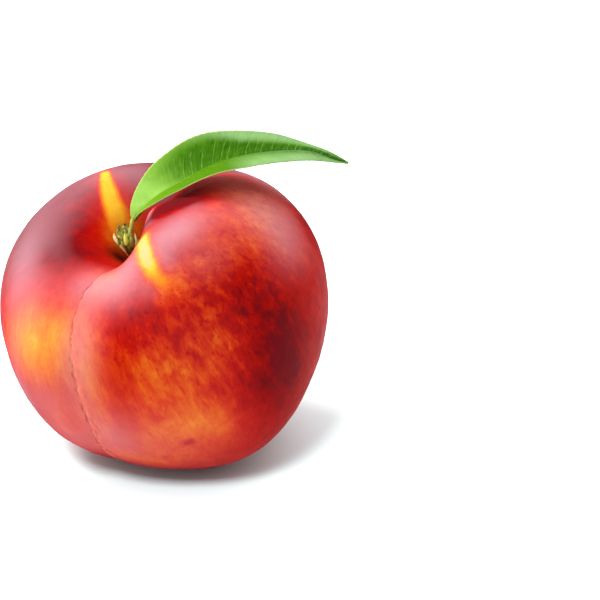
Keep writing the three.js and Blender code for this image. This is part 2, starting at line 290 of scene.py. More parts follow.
def fruit_radius(theta, phi):
    st, ct = np.sin(theta), np.cos(theta)
    x, y, z = st * np.cos(phi), st * np.sin(phi), ct
    b = BLOSSOM_END_HEIGHT + (STEM_END_HEIGHT - BLOSSOM_END_HEIGHT) * (0.5 + 0.5 * np.tanh(2.5 * ct))
    r = ((np.abs(st) / EQUATOR_RADIUS) ** PROFILE_POWER + (np.abs(ct) / b) ** PROFILE_POWER) ** (-1 / PROFILE_POWER)
    u = UNEVEN
    r = r * (1 + u[0] * x + u[1] * y + u[2] * z + u[3] * x * y + u[4] * y * z + u[5] * (3 * z * z - 1)
             + u[6] * x * z + u[7] * (x * x - y * y) + u[8] * y * (3 * x * x - y * y) + u[9] * x * y * z
             + u[10] * y * (5 * z * z - 1) + u[11] * z * (5 * z * z - 3) + u[12] * x * (5 * z * z - 1)
             + u[13] * z * (x * x - y * y) + u[14] * x * (x * x - 3 * y * y))
    cx, sx = np.cos(phi), np.sin(phi)
    along = CAVITY_HALF_ANGLE * (1 + np.where(cx > 0, CAVITY_LONGER_NEAR, CAVITY_LONGER_FAR))
    tight = 1 - 0.524 * bell(wrap(phi - 1.405), 0.678)
    rho = theta * np.sqrt((cx / along) ** 2 + (sx / CAVITY_HALF_ANGLE) ** 2) / tight
    r = r * (1 - CAVITY_DEPTH * np.exp(-(rho ** CAVITY_POWER)))
    pole = smooth(0, 0.3, theta)
    r = r + pole * np.where(sx > 0, 3.1049, -1.1866) * sx * sx * bell(theta - 0.7, 0.4)
    lobe = smooth(0.15, 0.7, theta) * smooth(3.0, 2.0, theta)
    r = r + 5.2127 * bell(wrap(phi - 1.103), 0.55) * lobe - 0.3549 * bell(wrap(phi + 0.7), 0.6) * lobe
    r = r + 4.5 * bell(wrap(phi - 2.75), 0.4) * bell(theta - 0.35, 0.28) * pole
    r = r + 2.516 * bell(wrap(phi - 0.978), 1.29) * bell(theta - 0.301, 0.284) * pole
    r = r + 0.551 * bell(wrap(phi - 0.45), 0.35) * bell(theta - 0.38, 0.12) * pole
    near_top = bell(theta - 0.55, 0.38)
    sp = wrap(phi - suture_line(theta))
    valley = SUTURE_VALLEY_DEPTH * (0.35 + 0.65 * near_top) * smooth(0, 0.35, theta) * smooth(3.14, 2.5, theta)
    width = (SUTURE_VALLEY_HALF_ANGLE * (1 + 0.5 * near_top)
             / np.maximum(np.sin(np.clip(theta, 0.35, 2.8)), 0.3) ** 0.7
             * np.where(sp > 0, SUTURE_RIGHT_WIDTH, SUTURE_LEFT_WIDTH))
    r = r - valley * np.exp(-(np.abs(sp / width) ** 1.5))
    crease = SUTURE_CREASE_DEPTH * (0.5 + 0.5 * near_top) * smooth(0.1, 0.4, theta) * smooth(3.1, 2.6, theta)
    r = r - crease * np.exp(-(np.abs(sp / SUTURE_CREASE_HALF_ANGLE) ** 1.3))
    r = r - FAR_GROOVE_DEPTH * pole * bell(theta - 0.5, 0.45) * np.exp(-(np.abs(wrap(phi - np.pi) / FAR_GROOVE_HALF_ANGLE) ** 1.6))
    return r


def fruit_point(theta, phi, extra=0.0):
    r = fruit_radius(theta, phi) + extra
    n = np.stack([np.sin(theta) * np.cos(phi), np.sin(theta) * np.sin(phi), np.cos(theta)], -1)
    return (n * r[..., None]) @ AXES + FRUIT_CENTRE


def build_fruit():
    nt, nph = 236, 400
    v = np.linspace(0, 1, nt + 1)[1:-1]
    theta = np.pi * (v - 0.055 * np.sin(2 * np.pi * v))
    t = 2 * np.arange(nph) / nph - 1
    T, F0 = np.meshgrid(theta, np.pi * t - 0.74 * np.sin(np.pi * t), indexing="ij")
    F = F0 + suture_line(T)
    # fine stitched line along the bottom of the suture
    pts_cyl = np.stack([np.cos(F) * 39, np.sin(F) * 39, T * 39], -1)
    wobble = 0.006 * np.sin(T * 57) + 0.005 * np.sin(T * 131 + 1.3)
    sp = wrap(F0 + wobble)
    mm = sp * 38 * np.maximum(np.sin(T), 0.2)
    dash = smooth(-0.9, 0.7, np.sin(T * 61) + 0.8 * np.sin(T * 23 + 2) + 0.5 * np.sin(T * 157) + 0.4 * np.sin(T * 97 + 0.5))
    line = np.exp(-(mm / 0.26) ** 2) * smooth(0.32, 0.5, T) * smooth(2.9, 2.4, T) * (0.25 + 0.75 * dash)
    fleck = (np.exp(-((mm - 0.42 - 0.2 * np.sin(T * 19)) / 0.26) ** 2) * smooth(0.32, 0.5, T) * smooth(2.6, 1.9, T)
             * smooth(0.1, 1.6, np.sin(T * 31 + 1) + 0.9 * np.sin(T * 71) + 0.6 * np.sin(T * 133 + 2)) * (0.45 + 0.55 * bell(T - 0.62, 0.16)))
    second = (0.34 * np.exp(-((mm - 2.0 - 0.35 * np.sin(T * 13)) / 0.34) ** 2) * smooth(0.85, 1.05, T) * smooth(2.4, 2.0, T)
              * smooth(-0.2, 1.2, np.sin(T * 47 + 2) + 0.8 * np.sin(T * 111)))
    line = np.maximum(line, second)
    band = np.exp(-((mm - 0.95) / 1.15) ** 2) * smooth(0.75, 1.0, T) * smooth(2.7, 2.2, T)
    P = fruit_point(T, F, -0.12 * line)
    flat = P.reshape(-1, 3)
    n = (flat - FRUIT_CENTRE) / np.linalg.norm(flat - FRUIT_CENTRE, axis=1, keepdims=True)
    bumps = 0.10 * fractal(flat, 0.11, 3, 1)
    flat = flat + n * bumps[:, None]
    top = fruit_point(np.array([0.0]), np.array([0.0]))
    bottom = fruit_point(np.array([np.pi]), np.array([0.0]))
    flat[:, 2] = np.maximum(flat[:, 2], 0.0)
    bottom[:, 2] = np.maximum(bottom[:, 2], 0.0)
    verts = np.vstack([flat, top, bottom])
    m = nt - 1
    faces = grid_faces(m, nph, True, flip=True)
    a, b = len(flat), len(flat) + 1
    for j in range(nph):
        k = (j + 1) % nph
        faces.append((a, j, k))
        faces.append((b, (m - 1) * nph + k, (m - 1) * nph + j))
    obj = make_object("fruit_skin", verts * MM, faces)
    # ---- attributes
    TT = np.append(T.ravel(), [0.0, np.pi])
    FF = np.append(F.ravel(), [0.0, 0.0])
    FF = wrap(FF)
    cyl = np.stack([np.cos(FF) * 39, np.sin(FF) * 39, TT * 39], -1)
    add_vector(obj, "cyl", cyl)
    lean = FF - 0.22 * TT
    add_vector(obj, "flow", np.stack([np.cos(lean) * 39 * np.sin(TT), np.sin(lean) * 39 * np.sin(TT), TT * 39], -1))
    add_float(obj, "line", np.append(line.ravel(), [0, 0]))
    add_float(obj, "fleck", np.append(fleck.ravel(), [0, 0]))
    add_float(obj, "band", np.append(band.ravel(), [0, 0]))
    # painted shade in the suture groove low down
    add_float(obj, "low_band", np.append((band * smooth(1.45, 1.9, T)).ravel(), [0, 0]))
    unit = np.stack([np.sin(TT) * np.cos(FF), np.sin(TT) * np.sin(FF), np.cos(TT)], -1)

    def spots(base, table):
        """Soft patches on the skin: centre and half widths in radians, along and across the meridian."""
        out = np.full(len(TT), float(base))
        for amount, th, ph, wt, wp in table:
            d2 = ((TT - th) / wt) ** 2 + (wrap(FF - ph) * np.maximum(np.sin(TT), 0.15) / wp) ** 2
            out += amount * np.exp(-d2)
        return out

    radial = np.linalg.norm(verts - FRUIT_CENTRE, axis=1)
    stripe, tone = np.zeros(len(TT)), np.zeros(len(TT))
    for table, power in ((STRIPE_NEAR, 1.7), (STRIPE_FAR, 3.0)):
        t = np.array(table)
        phi, width, strength, shade = (np.interp(TT, t[:, 0], t[:, i]) for i in (1, 2, 3, 4))
        side = radial * np.sin(TT) * np.sin(FF - phi) + 0.25 * np.sin(TT * 9 + 1)
        here = np.cos(FF - phi) > 0
        stripe = np.where(here, strength * np.exp(-(np.abs(side) / width) ** power), stripe)
        tone = np.where(here, shade, tone)
    # blush, with patches of painted shade and painted light
    add_float(obj, "blush_and_shading", np.clip(spots(BLUSH_BASE, BLUSH_AND_SHADING_SPOTS), 0, 1.1))
    add_float(obj, "mottle", np.clip(spots(0.25, MOTTLE_SPOTS), 0, 2))
    # painted sheen and highlights
    add_float(obj, "down_and_sheen", np.clip(spots(-0.035, DOWN_AND_SHEEN_SPOTS), 0, 1))
    add_float(obj, "bare", np.clip(spots(0.0, BARE_SPOTS), 0, 1))
    # painted light inside the leaf's shadow
    add_float(obj, "shadow_fill", np.clip(spots(0.0, SHADOW_FILL_SPOTS), 0, 1))
    add_float(obj, "stripe", stripe)
    add_float(obj, "tone", tone)
    # dark scar tissue with painted shade in the bottom of the stem cavity, more on the near side, and painted leaf
    # shadow on the crest
    add_float(obj, "scar_and_shade", np.clip(spots(0.0, SCAR_AND_SHADE_SPOTS), 0, 1))
    return obj


# Blush 0 is yellow ground, 0.5 orange-red, 1 maroon; some patches paint shade and light, marked below. Each patch:
# amount, angle from the stem, angle round from the suture, half width along, half width across.
BLUSH_BASE = 0.76
BLUSH_AND_SHADING_SPOTS = [
    (0.24, 0.85, -1.60, 0.45, 0.85),  # maroon crown of the left lobe
    (0.14, 0.58, -0.80, 0.20, 0.30),  # darker on the slope into the cavity
    (-0.24, 0.32, -1.10, 0.18, 0.50),  # bright red cavity wall
    (-0.08, 0.30, -1.35, 0.08, 0.08),
    (-0.25, 0.30, -2.10, 0.16, 0.25),  # orange beside the stalk
    (-0.14, 0.66, -2.35, 0.35, 0.12),  # red halo round the far stripe
    (-0.57, 1.21, -0.37, 0.30, 0.40),  # yellow-orange ground, low on the left lobe
    (-0.30, 0.66, 0.10, 0.16, 0.30),  # salmon floor of the suture valley
    (-0.20, 1.35, 0.12, 0.60, 0.13),  # lighter rim along the suture
    (-0.14, 1.10, -0.12, 0.22, 0.09),
    (0.08, 1.00, 0.48, 0.18, 0.22),  # dark red core of the right lobe
    (0.06, 1.02, 1.12, 0.14, 0.16),
    (-0.14, 0.80, 1.35, 0.22, 0.30),  # orange-red mottled middle
    (-0.37, 1.74, 0.66, 0.23, 0.36),  # orange ground at the base of the right lobe
    (-0.16, 1.30, 0.85, 0.28, 0.34),
    (0.30, 1.845, 0.655, 0.026, 0.034),  # small dull spots
    (0.10, 1.62, 0.56, 0.02, 0.06),
    (0.10, 2.00, 0.49, 0.03, 0.04),
    (0.12, 1.55, 1.02, 0.20, 0.14),
    (-0.20, 2.02, 0.42, 0.13, 0.30),
    (0.08, 1.84, 0.72, 0.10, 0.20),
    (0.16, 2.15, 0.04, 0.12, 0.16),
    (-0.22, 0.92, 1.95, 0.35, 0.40),  # right shoulder
    # painted shade on the crest beside the stalk
    (0.22, 0.34, 1.02, 0.05, 0.06),
    (-0.08, 0.84, 0.98, 0.12, 0.14),
    (-0.06, 0.88, 0.38, 0.12, 0.14),
    (-0.12, 1.30, 0.56, 0.14, 0.14),
    (-0.05, 1.80, -0.15, 0.30, 0.30),
    (-0.14, 1.38, 0.52, 0.20, 0.20),
    (-0.16, 1.70, -0.15, 0.25, 0.16),
    (-0.12, 2.25, 0.40, 0.14, 0.60),
    (-0.06, 1.50, 0.18, 0.45, 0.10),
    (-0.05, 0.72, 1.35, 0.16, 0.20),
    (-0.07, 0.86, 1.62, 0.18, 0.34),
    # painted shadow of the leaf
    (0.15, 0.40, 1.68, 0.05, 0.07),
    (-0.26, 0.88, 0.80, 0.10, 0.11),  # orange glow where the near stripe runs out
    (-0.10, 1.14, 0.95, 0.12, 0.14),
    (-0.14, 1.40, 1.00, 0.18, 0.13),
    (-0.08, 1.76, 0.80, 0.14, 0.14),
    (-0.06, 1.20, 0.36, 0.14, 0.09),
    (-0.08, 2.08, 0.20, 0.12, 0.30),
    (0.08, 1.30, 2.18, 0.20, 0.14),
    (-0.07, 0.90, 1.84, 0.12, 0.24),
    # painted light: the next two patches lighten the red inside the leaf's shadow
    (-0.04, 0.48, 2.16, 0.10, 0.12),
    (-0.14, 0.66, 2.36, 0.13, 0.13),
    # painted shadow of the leaf on the crest
    (0.26, 0.525, 1.78, 0.05, 0.085),
    # painted highlight on the rim of the crest
    (-0.34, 0.25, 1.26, 0.035, 0.035),
    (0.52, 0.59, 3.02, 0.10, 0.09),
    (0.14, 0.93, -1.50, 0.15, 0.28),
    (0.05, 1.55, -0.20, 0.20, 0.14),
    (0.40, 0.90, 2.68, 0.12, 0.14),
    (0.36, 0.36, 1.30, 0.06, 0.08),  # painted shadow of the leaf: maroon behind the crest, under the leaf
    (0.46, 0.41, 1.65, 0.08, 0.09),
    # painted light: the next two patches lighten the red inside the leaf's shadow
    (-0.02, 0.53, 1.98, 0.09, 0.10),
    (-0.05, 0.72, 2.15, 0.16, 0.12),
    (-0.32, 0.42, -2.75, 0.15, 0.15),  # orange-red wall beyond the stalk, its own colour lightened further as painted light in the shade of the leaf
    (0.12, 0.46, -1.47, 0.12, 0.16),  # darker slope on the left of the stalk
    (0.10, 0.78, -2.68, 0.12, 0.20),
    (0.26, 1.50, 1.28, 0.42, 0.26),  # painted shadow of a neighbouring slice: darker red lower right
    (0.22, 1.15, -2.90, 0.42, 0.50),  # maroon back
    (0.16, 1.35, 2.70, 0.30, 0.30),
    (0.12, 1.60, -2.55, 0.25, 0.25),
    (-0.46, 1.95, 2.90, 0.40, 0.50),  # orange ground low at the back
    (-0.22, 1.55, -2.95, 0.22, 0.26),
    (-0.20, 1.00, 2.75, 0.20, 0.22),
    (-0.40, 2.90, 0.00, 0.45, 1.00),  # yellow-orange round the blossom end
    (0.26, 2.34, 0.26, 0.20, 0.50),  # painted shade: darker low on the near side, just above the floor
    (-0.09, 0.79, 0.89, 0.06, 0.06),
    (0.09, 0.80, 1.44, 0.13, 0.20),
]
# painted sheen and highlights: pale pink mixed into the red where the down catches the light
DOWN_AND_SHEEN_SPOTS = [
    (0.66, 0.58, 1.09, 0.12, 0.22),  # painted highlight on the crest of the right lobe
    (0.36, 0.60, 0.55, 0.14, 0.16),
    (0.16, 0.36, 0.96, 0.05, 0.06),
    (0.52, 0.76, 0.32, 0.15, 0.20),
    (0.38, 1.20, 0.05, 0.38, 0.14),  # rim along the suture
    (0.13, 1.80, 0.22, 0.18, 0.14),
    (0.34, 0.74, -0.10, 0.16, 0.16),
    (0.34, 0.80, -1.70, 0.30, 0.60),  # painted silvery sheen on the crown of the left lobe
    (0.30, 0.95, -1.10, 0.20, 0.26),
    (0.24, 1.00, -0.70, 0.20, 0.30),
    (0.42, 0.93, 1.92, 0.26, 0.22),  # right shoulder
    (0.30, 0.72, -2.75, 0.16, 0.35),
    (0.20, 1.75, -0.05, 0.25, 0.40),
    (0.14, 1.20, -0.45, 0.40, 0.30),
    (0.14, 0.80, 1.15, 0.12, 0.20),
    (0.12, 1.88, 0.50, 0.34, 0.50),
    (0.09, 0.98, 1.70, 0.26, 0.30),
    (-0.10, 0.77, -0.82, 0.08, 0.14),
    (-0.08, 0.78, -1.80, 0.12, 0.30),
    (0.14, 0.66, 1.55, 0.10, 0.14),
    (0.14, 0.51, 1.60, 0.05, 0.08),
    # painted highlight along the rim of the crest
    (0.42, 0.25, 1.26, 0.035, 0.035),
    (0.35, 0.29, 1.10, 0.035, 0.04),
    (0.08, 0.36, 0.93, 0.04, 0.04),
    (0.06, 1.20, 0.80, 0.50, 0.50),
    (0.22, 1.70, -0.50, 0.22, 0.14),  # outer rim of the left lobe
    (0.10, 1.38, -0.56, 0.20, 0.10),
    (0.12, 2.25, 0.45, 0.12, 0.60),
    (-0.07, 1.74, -0.05, 0.16, 0.10),
    (-0.06, 0.72, 1.35, 0.16, 0.20),
    (0.24, 1.50, -3.00, 0.40, 0.60),  # painted silvery sheen on the back
    (0.14, 1.25, 2.75, 0.22, 0.35),
    (0.14, 2.05, 2.60, 0.45, 0.80),
    (0.14, 1.90, -2.60, 0.40, 0.40),
    (0.08, 1.09, 2.10, 0.12, 0.12),
    (-0.14, 1.32, 2.20, 0.18, 0.12),
    (-0.34, 0.47, 2.12, 0.12, 0.18),
    (0.15, 0.68, 2.34, 0.12, 0.13),
    (-0.08, 0.85, 1.60, 0.18, 0.32),
    (0.15, 1.56, -0.22, 0.18, 0.15),
    (0.13, 1.92, -0.12, 0.15, 0.20),
    (0.10, 1.10, -0.80, 0.16, 0.10),
    (0.26, 0.94, 2.62, 0.14, 0.14),
    (0.26, 1.02, 2.40, 0.14, 0.11),
    (-0.12, 0.40, 1.68, 0.05, 0.07),
    (-0.50, 0.37, 1.35, 0.06, 0.09),  # none in the shade of the leaf
    (-0.40, 0.42, 1.75, 0.08, 0.12),
    (-0.12, 0.46, -0.80, 0.13, 0.20),  # less painted sheen on the slope into the cavity
    (0.20, 0.71, 0.86, 0.07, 0.06),
    (0.13, 0.84, 0.645, 0.07, 0.06),
    (0.09, 0.80, 1.48, 0.11, 0.26),
    (0.13, 1.09, 1.76, 0.14, 0.15),
    (-0.12, 2.28, 0.35, 0.15, 0.50),
]
MOTTLE_SPOTS = [
    (0.65, 1.15, 0.95, 0.45, 0.60),
    (0.16, 0.86, 1.60, 0.30, 0.50),
    (0.62, 1.60, 2.95, 0.65, 0.90),
    (0.40, 1.40, -2.60, 0.55, 0.45),
]
# painted light: clearer, brighter red put inside the leaf's shadow on the hump
SHADOW_FILL_SPOTS = [(0.70, 0.60, 2.24, 0.15, 0.15), (0.45, 0.80, 2.42, 0.15, 0.12)]
# matt skin rubbed bare, with no sheen at a flat angle
BARE_SPOTS = [(1.0, 0.46, 2.15, 0.16, 0.24), (0.9, 1.32, 2.20, 0.35, 0.16), (1.0, 0.38, 1.60, 0.09, 0.22), (0.8, 0.30, -1.20, 0.22, 1.00)]
# brown, dead tissue round the foot of the stalk, darkened with painted shade in the cavity, and painted shadow of the
# leaf on the darkest skin of the crest
SCAR_AND_SHADE_SPOTS = [(0.42, 0.375, 1.75, 0.065, 0.10), (0.85, 0.0, 0.0, 0.17, 1.0), (1.0, 0.28, -0.76, 0.080, 0.080)]
# Bare stripe where a twig lay across the stem end, on both sides of it:
# angle from the stem, angle round, half width in mm, strength, tone on the blush scale.
STRIPE_NEAR = [(0.0, 0.77, 1.2, 0.0, 0.3), (0.37, 0.765, 1.5, 0.2, 0.25), (0.45, 0.725, 2.8, 0.98, 0.05), (0.55, 0.70, 2.8, 1.04, 0.0),
               (0.67, 0.71, 2.6, 1.04, 0.02), (0.75, 0.73, 2.6, 0.92, 0.14), (0.82, 0.765, 3.2, 0.76, 0.23), (0.92, 0.80, 3.4, 0.0, 0.4)]
STRIPE_FAR = [(0.0, -1.80, 1.4, 0.0, 0.6), (0.22, -1.85, 1.8, 0.8, 0.30), (0.31, -1.97, 2.2, 0.9, 0.24), (0.37, -2.16, 2.7, 1.0, 0.14),
              (0.44, -2.24, 2.9, 1.0, 0.10), (0.53, -2.28, 2.6, 1.0, 0.11), (0.63, -2.31, 2.1, 1.0, 0.13), (0.74, -2.35, 1.8, 1.0, 0.12),
              (0.79, -2.36, 1.7, 0.9, 0.17), (0.87, -2.36, 1.5, 0.0, 0.3)]


def fruit_material():
    m = Nodes("peach_skin")
    cyl = m.attr("cyl", "Vector")
    obj = m.object_coords()
    flow = m.attr("flow", "Vector")
    streaks = m.noise(m.scale(flow, (1.0, 1.0, 0.34)), 0.42, 2.5, 0.5, 0.35)
    strokes = m.noise(m.scale(flow, (1.0, 1.0, 0.24)), 1.05, 2.0, 0.55, 0.4)
    blots = m.noise(m.scale(obj, (1000.0, 1000.0, 800.0)), 0.36, 3.4, 0.6, 0.5)
    broad = m.noise(cyl, 0.12, 3.0, 0.5, 0.3)
    fine = m.noise(m.scale(flow, (1.0, 1.0, 0.5)), 1.9, 2.4, 0.6)
    mott = m.attr("mottle")
    b = m.attr("blush_and_shading")
    b = m.add(b, m.mul(m.math("SUBTRACT", broad, 0.5), 0.13))
    b = m.add(b, m.mul(mott, m.mul(m.math("SUBTRACT", streaks, 0.5), 0.66)))
    b = m.add(b, m.mul(mott, m.mul(m.math("SUBTRACT", blots, 0.5), 0.46)))
    b = m.add(b, m.mul(mott, m.step(strokes, 0.47, 0.34, 0.0, 0.12)))
    b = m.add(b, m.mul(m.math("SUBTRACT", fine, 0.5), 0.14))
    edge = m.step(m.add(m.attr("stripe"), m.mul(m.math("SUBTRACT", blots, 0.5), 0.45)), 0.12, 1.0)
    b = m.add(m.mul(b, m.math("SUBTRACT", 1.0, edge)), m.mul(m.add(m.attr("tone"), m.mul(m.math("SUBTRACT", fine, 0.5), 0.12)), edge))
    color = m.ramp(b, [
        (0.00, (0.62, 0.345, 0.150, 1)), (0.09, (0.68, 0.36, 0.022, 1)), (0.20, (0.63, 0.205, 0.008, 1)), (0.40, (0.54, 0.085, 0.004, 1)),
        (0.55, (0.46, 0.026, 0.001, 1)), (0.70, (0.35, 0.004, 0.0005, 1)), (0.85, (0.23, 0.002, 0.0015, 1)),
        (1.00, (0.11, 0.002, 0.004, 1))])
    # painted sheen and highlights: pale pink over the red
    color = m.mix(m.mul(m.attr("down_and_sheen"), m.math("SUBTRACT", 1.0, m.mul(edge, 0.92))), color, (0.43, 0.225, 0.265, 1))
    # painted light: brighter red inside the leaf's shadow
    color = m.mix(m.attr("shadow_fill"), color, (0.74, 0.050, 0.050, 1))
    color = m.mix(m.mul(m.attr("band"), m.step(strokes, 0.35, 0.6, 0.10, 0.50)), color, (0.62, 0.115, 0.085, 1))
    # painted shade: darker along the suture groove low down
    color = m.mix(m.mul(m.attr("low_band"), m.step(strokes, 0.55, 0.40, 0.0, 0.45)), color, (0.26, 0.020, 0.016, 1))
    color = m.mix(m.mul(m.attr("line"), 0.55), color, (0.12, 0.02, 0.02, 1))
    color = m.mix(m.mul(m.attr("fleck"), 0.4), color, (0.75, 0.42, 0.25, 1))
    # scar tissue with painted shade: near black in the stem cavity and in the leaf's shadow
    color = m.mix(m.mul(m.attr("scar_and_shade"), 0.9), color, (0.035, 0.004, 0.001, 1))
    grain = m.noise(obj, 2600.0, 2.0, 0.6)
    skin = m.noise(obj, 420.0, 3.0, 0.55)
    height = m.add(m.mul(grain, 0.35), skin)
    normal = m.bump(height, 0.00012, 0.35)
    rough = m.add(m.step(skin, 0.2, 0.8, 0.50, 0.62), m.mul(m.attr("bare"), 0.4))
    p = m.principled(color, Roughness=rough, Normal=normal)
    p.inputs["IOR"].default_value = 1.42
    p.inputs["Specular IOR Level"].default_value = 0.02
    p.inputs["Specular Tint"].default_value = (1.0, 0.30, 0.26, 1.0)
    p.inputs["Sheen Weight"].default_value = 0.02
    p.inputs["Sheen Roughness"].default_value = 0.45
    p.inputs["Sheen Tint"].default_value = (1.0, 0.80, 0.93, 1.0)
    return m.output(p.outputs[0])


fruit = build_fruit()
fruit.data.materials.append(fruit_material())
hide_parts("fruit")
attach(fruit, "root")

# -------------------------------------------------------------------- leaf
LEAF_MIDRIB = [[-7.39, -2.96, 59.17], [-6.2, -2.66, 61.07], [-3.99, -2.36, 63.22], [-2.0, -2.27, 64.89], [-0.28, -2.24, 66.19], [1.7, -2.25, 67.39], [3.68, -2.18, 68.54], [5.9, -1.87, 69.72], [8.34, -1.32, 70.95], [10.77, -0.54, 71.97], [13.2, 0.32, 72.68], [17.88, 2.38, 73.38], [22.52, 4.55, 73.34], [27.19, 6.8, 72.98], [31.89, 8.89, 72.27], [35.43, 10.21, 71.28], [38.28, 10.87, 69.83], [40.89, 11.21, 68.61], [43.41, 11.6, 68.03]]
LEAF_FAR_EDGE = [[-7.75, -2.3, 60.41], [-7.82, -1.09, 61.94], [-7.35, 0.43, 63.47], [-6.44, 1.74, 65.47], [-5.41, 2.94, 67.01], [-3.88, 3.72, 69.09], [-2.11, 4.33, 70.99], [0.47, 5.3, 72.93], [3.52, 6.23, 75.03], [6.78, 7.36, 76.3], [10.05, 8.21, 77.06], [15.64, 10.15, 76.8], [21.03, 11.53, 76.15], [26.21, 12.86, 74.94], [31.18, 13.9, 72.98], [34.97, 14.14, 71.54], [38.65, 13.57, 70.31], [41.26, 12.59, 69.17], [43.42, 11.85, 68.08]]
LEAF_NEAR_EDGE = [[-6.77, -3.48, 59.77], [-5.49, -4.83, 61.91], [-2.69, -6.37, 64.35], [-0.26, -7.79, 66.42], [1.67, -9.03, 68.04], [3.69, -10.02, 69.56], [5.69, -10.64, 70.87], [7.9, -10.85, 72.12], [10.32, -10.68, 73.14], [12.83, -9.95, 73.86], [15.33, -8.84, 74.16], [19.66, -6.14, 73.89], [24.01, -2.91, 73.45], [28.63, 0.57, 72.74], [33.06, 3.99, 71.63], [36.36, 6.41, 70.61], [38.96, 8.23, 69.65], [41.23, 9.74, 68.8], [43.41, 11.35, 67.97]]
PETIOLE_PATH = [[-7.91, -3.67, 55.36], [-7.75, -3.64, 56.41], [-7.5, -3.35, 57.81], [-7.2, -2.98, 59.4], [-6.3, -2.72, 60.95]]


def build_leaf():
    nu, nv = 520, 53
    mid = soften(catmull(LEAF_MIDRIB, nu), 10)
    far = soften(catmull(LEAF_FAR_EDGE, nu), 10)
    near = soften(catmull(LEAF_NEAR_EDGE, nu), 10)
    arc = np.concatenate([[0], np.cumsum(np.linalg.norm(np.diff(mid, axis=0), axis=1))])
    length = arc[-1]
    s = arc / length
    v = np.linspace(-1, 1, nv)
    v = np.sign(v) * np.abs(v) ** 1.15
    e = 0.14
    bend = (np.sqrt(v * v + e * e) - e) / (np.sqrt(1 + e * e) - e)
    a, b = far - mid, near - mid
    # small teeth along both margins, pointing to the tip
    def teeth(arcs, phase):
        ph = (arcs / 1.25 + phase) % 1.0
        return np.where(ph < 0.78, ph / 0.78, (1 - ph) / 0.22)
    fade = smooth(0.04, 0.12, s) * smooth(1.0, 0.93, s)
    irregular = 0.8 + 0.4 * np.sin(arc * 0.9) * np.sin(arc * 0.37 + 1)
    ta = 0.17 * fade * irregular * teeth(arc, 0.2)
    tb = 0.17 * fade * irregular * teeth(arc * 1.03, 0.6)
    la, lb = np.linalg.norm(a, axis=1), np.linalg.norm(b, axis=1)
    a = a * (1 + ta / np.maximum(la, 0.5))[:, None]
    b = b * (1 + tb / np.maximum(lb, 0.5))[:, None]
    M = mid[:, None, :] + 0.5 * v[None, :, None] * (a - b)[:, None, :] + 0.5 * bend[None, :, None] * (a + b)[:, None, :]
    # normals of the middle surface
    du = np.gradient(M, axis=0)
    dv = np.gradient(M, axis=1)
    N = np.cross(du, dv)
    N /= np.maximum(np.linalg.norm(N, axis=2, keepdims=True), 1e-9)
    if N[nu // 2, nv // 2, 2] < 0:
        N = -N
    S = np.repeat(s[:, None], nv, 1)
    A = np.repeat(arc[:, None], nv, 1)
    Vv = np.repeat(v[None, :], nu, 0)
    half = np.where(Vv > 0, la[:, None], lb[:, None])
    across = np.abs(Vv) * half
    # lateral veins leave the midrib, run out and curve towards the tip
    vein = np.zeros_like(A)
    vary = np.random.default_rng(5)
    for side, shift in ((1, 0.0), (-1, 1.3)):
        start = 2.0 + shift
        while start < length * 0.93:
            ww = np.interp(start / length, s, la if side > 0 else lb)
            for offset, weight in ((0.0, 1.0), (1.25, 0.38)):
                a0, a1, a2, a3 = vary.uniform(-1, 1, 4)
                line = (start + offset + 0.35 * a0 + (0.40 + 0.06 * a1) * across + 1.5 * (across / max(ww, 1.0)) ** 3
                        + 0.05 * np.sin(across * 1.9 + 3 * a2) + 0.03 * np.sin(across * 4.3 + 3 * a0))
                dist = np.abs(A - line)
                reach = (0.86 if offset == 0 else 0.55) - 0.16 * abs(a3)
                broken = 0.72 + 0.28 * np.sin(across * 2.7 + 9 * a1)
                strength = np.where(np.sign(Vv) == side, 1.0, 0.0) * smooth(reach, reach - 0.35, np.abs(Vv)) * weight * (0.62 + 0.38 * a2) * broken
                vein = np.maximum(vein, strength * np.exp(-(dist / (0.105 + 0.02 * a3)) ** 2))
            start += 2.5 + 0.5 * vary.uniform(-1, 1) - 0.7 * start / length
    rib = np.exp(-(across / (0.30 * (1 - 0.75 * S) + 0.06)) ** 2)
    quilt = np.zeros_like(A)
    flat = M.reshape(-1, 3)
    quilt = (0.035 * fractal(flat, 0.22, 3, 3)).reshape(nu, nv)
    vein_wide = vein ** 0.5
    wave = 0.07 * np.abs(Vv) ** 2.5 * np.sin(A * 0.45 + Vv * 1.3) * smooth(0.0, 0.2, S)
    height = -0.035 * vein_wide - 0.10 * rib + quilt * smooth(0, 0.25, np.abs(Vv)) + wave * 0.55
    thick = 0.34 * (1 - 0.45 * np.abs(Vv) ** 3)
    up = M + N * (height + thick / 2)[..., None]
    under_rib = 0.75 * (1 - 0.8 * S) * np.exp(-(across / (0.5 * (1 - 0.6 * S) + 0.12)) ** 2)
    down = M + N * (wave * 0.55 + quilt * 0.8 - thick / 2 - under_rib - 0.06 * vein_wide)[..., None]
    verts = np.vstack([up.reshape(-1, 3), down.reshape(-1, 3)])
    n1 = nu * nv
    faces = grid_faces(nu, nv, False)
    faces += grid_faces(nu, nv, False, base=n1, flip=True)
    for i in range(nu - 1):
        for j, flip in ((0, False), (nv - 1, True)):
            q = (i * nv + j, (i + 1) * nv + j, n1 + (i + 1) * nv + j, n1 + i * nv + j)
            faces.append(q[::-1] if flip else q)
    for j in range(nv - 1):
        for i, flip in ((0, True), (nu - 1, False)):
            q = (i * nv + j, i * nv + j + 1, n1 + i * nv + j + 1, n1 + i * nv + j)
            faces.append(q[::-1] if flip else q)
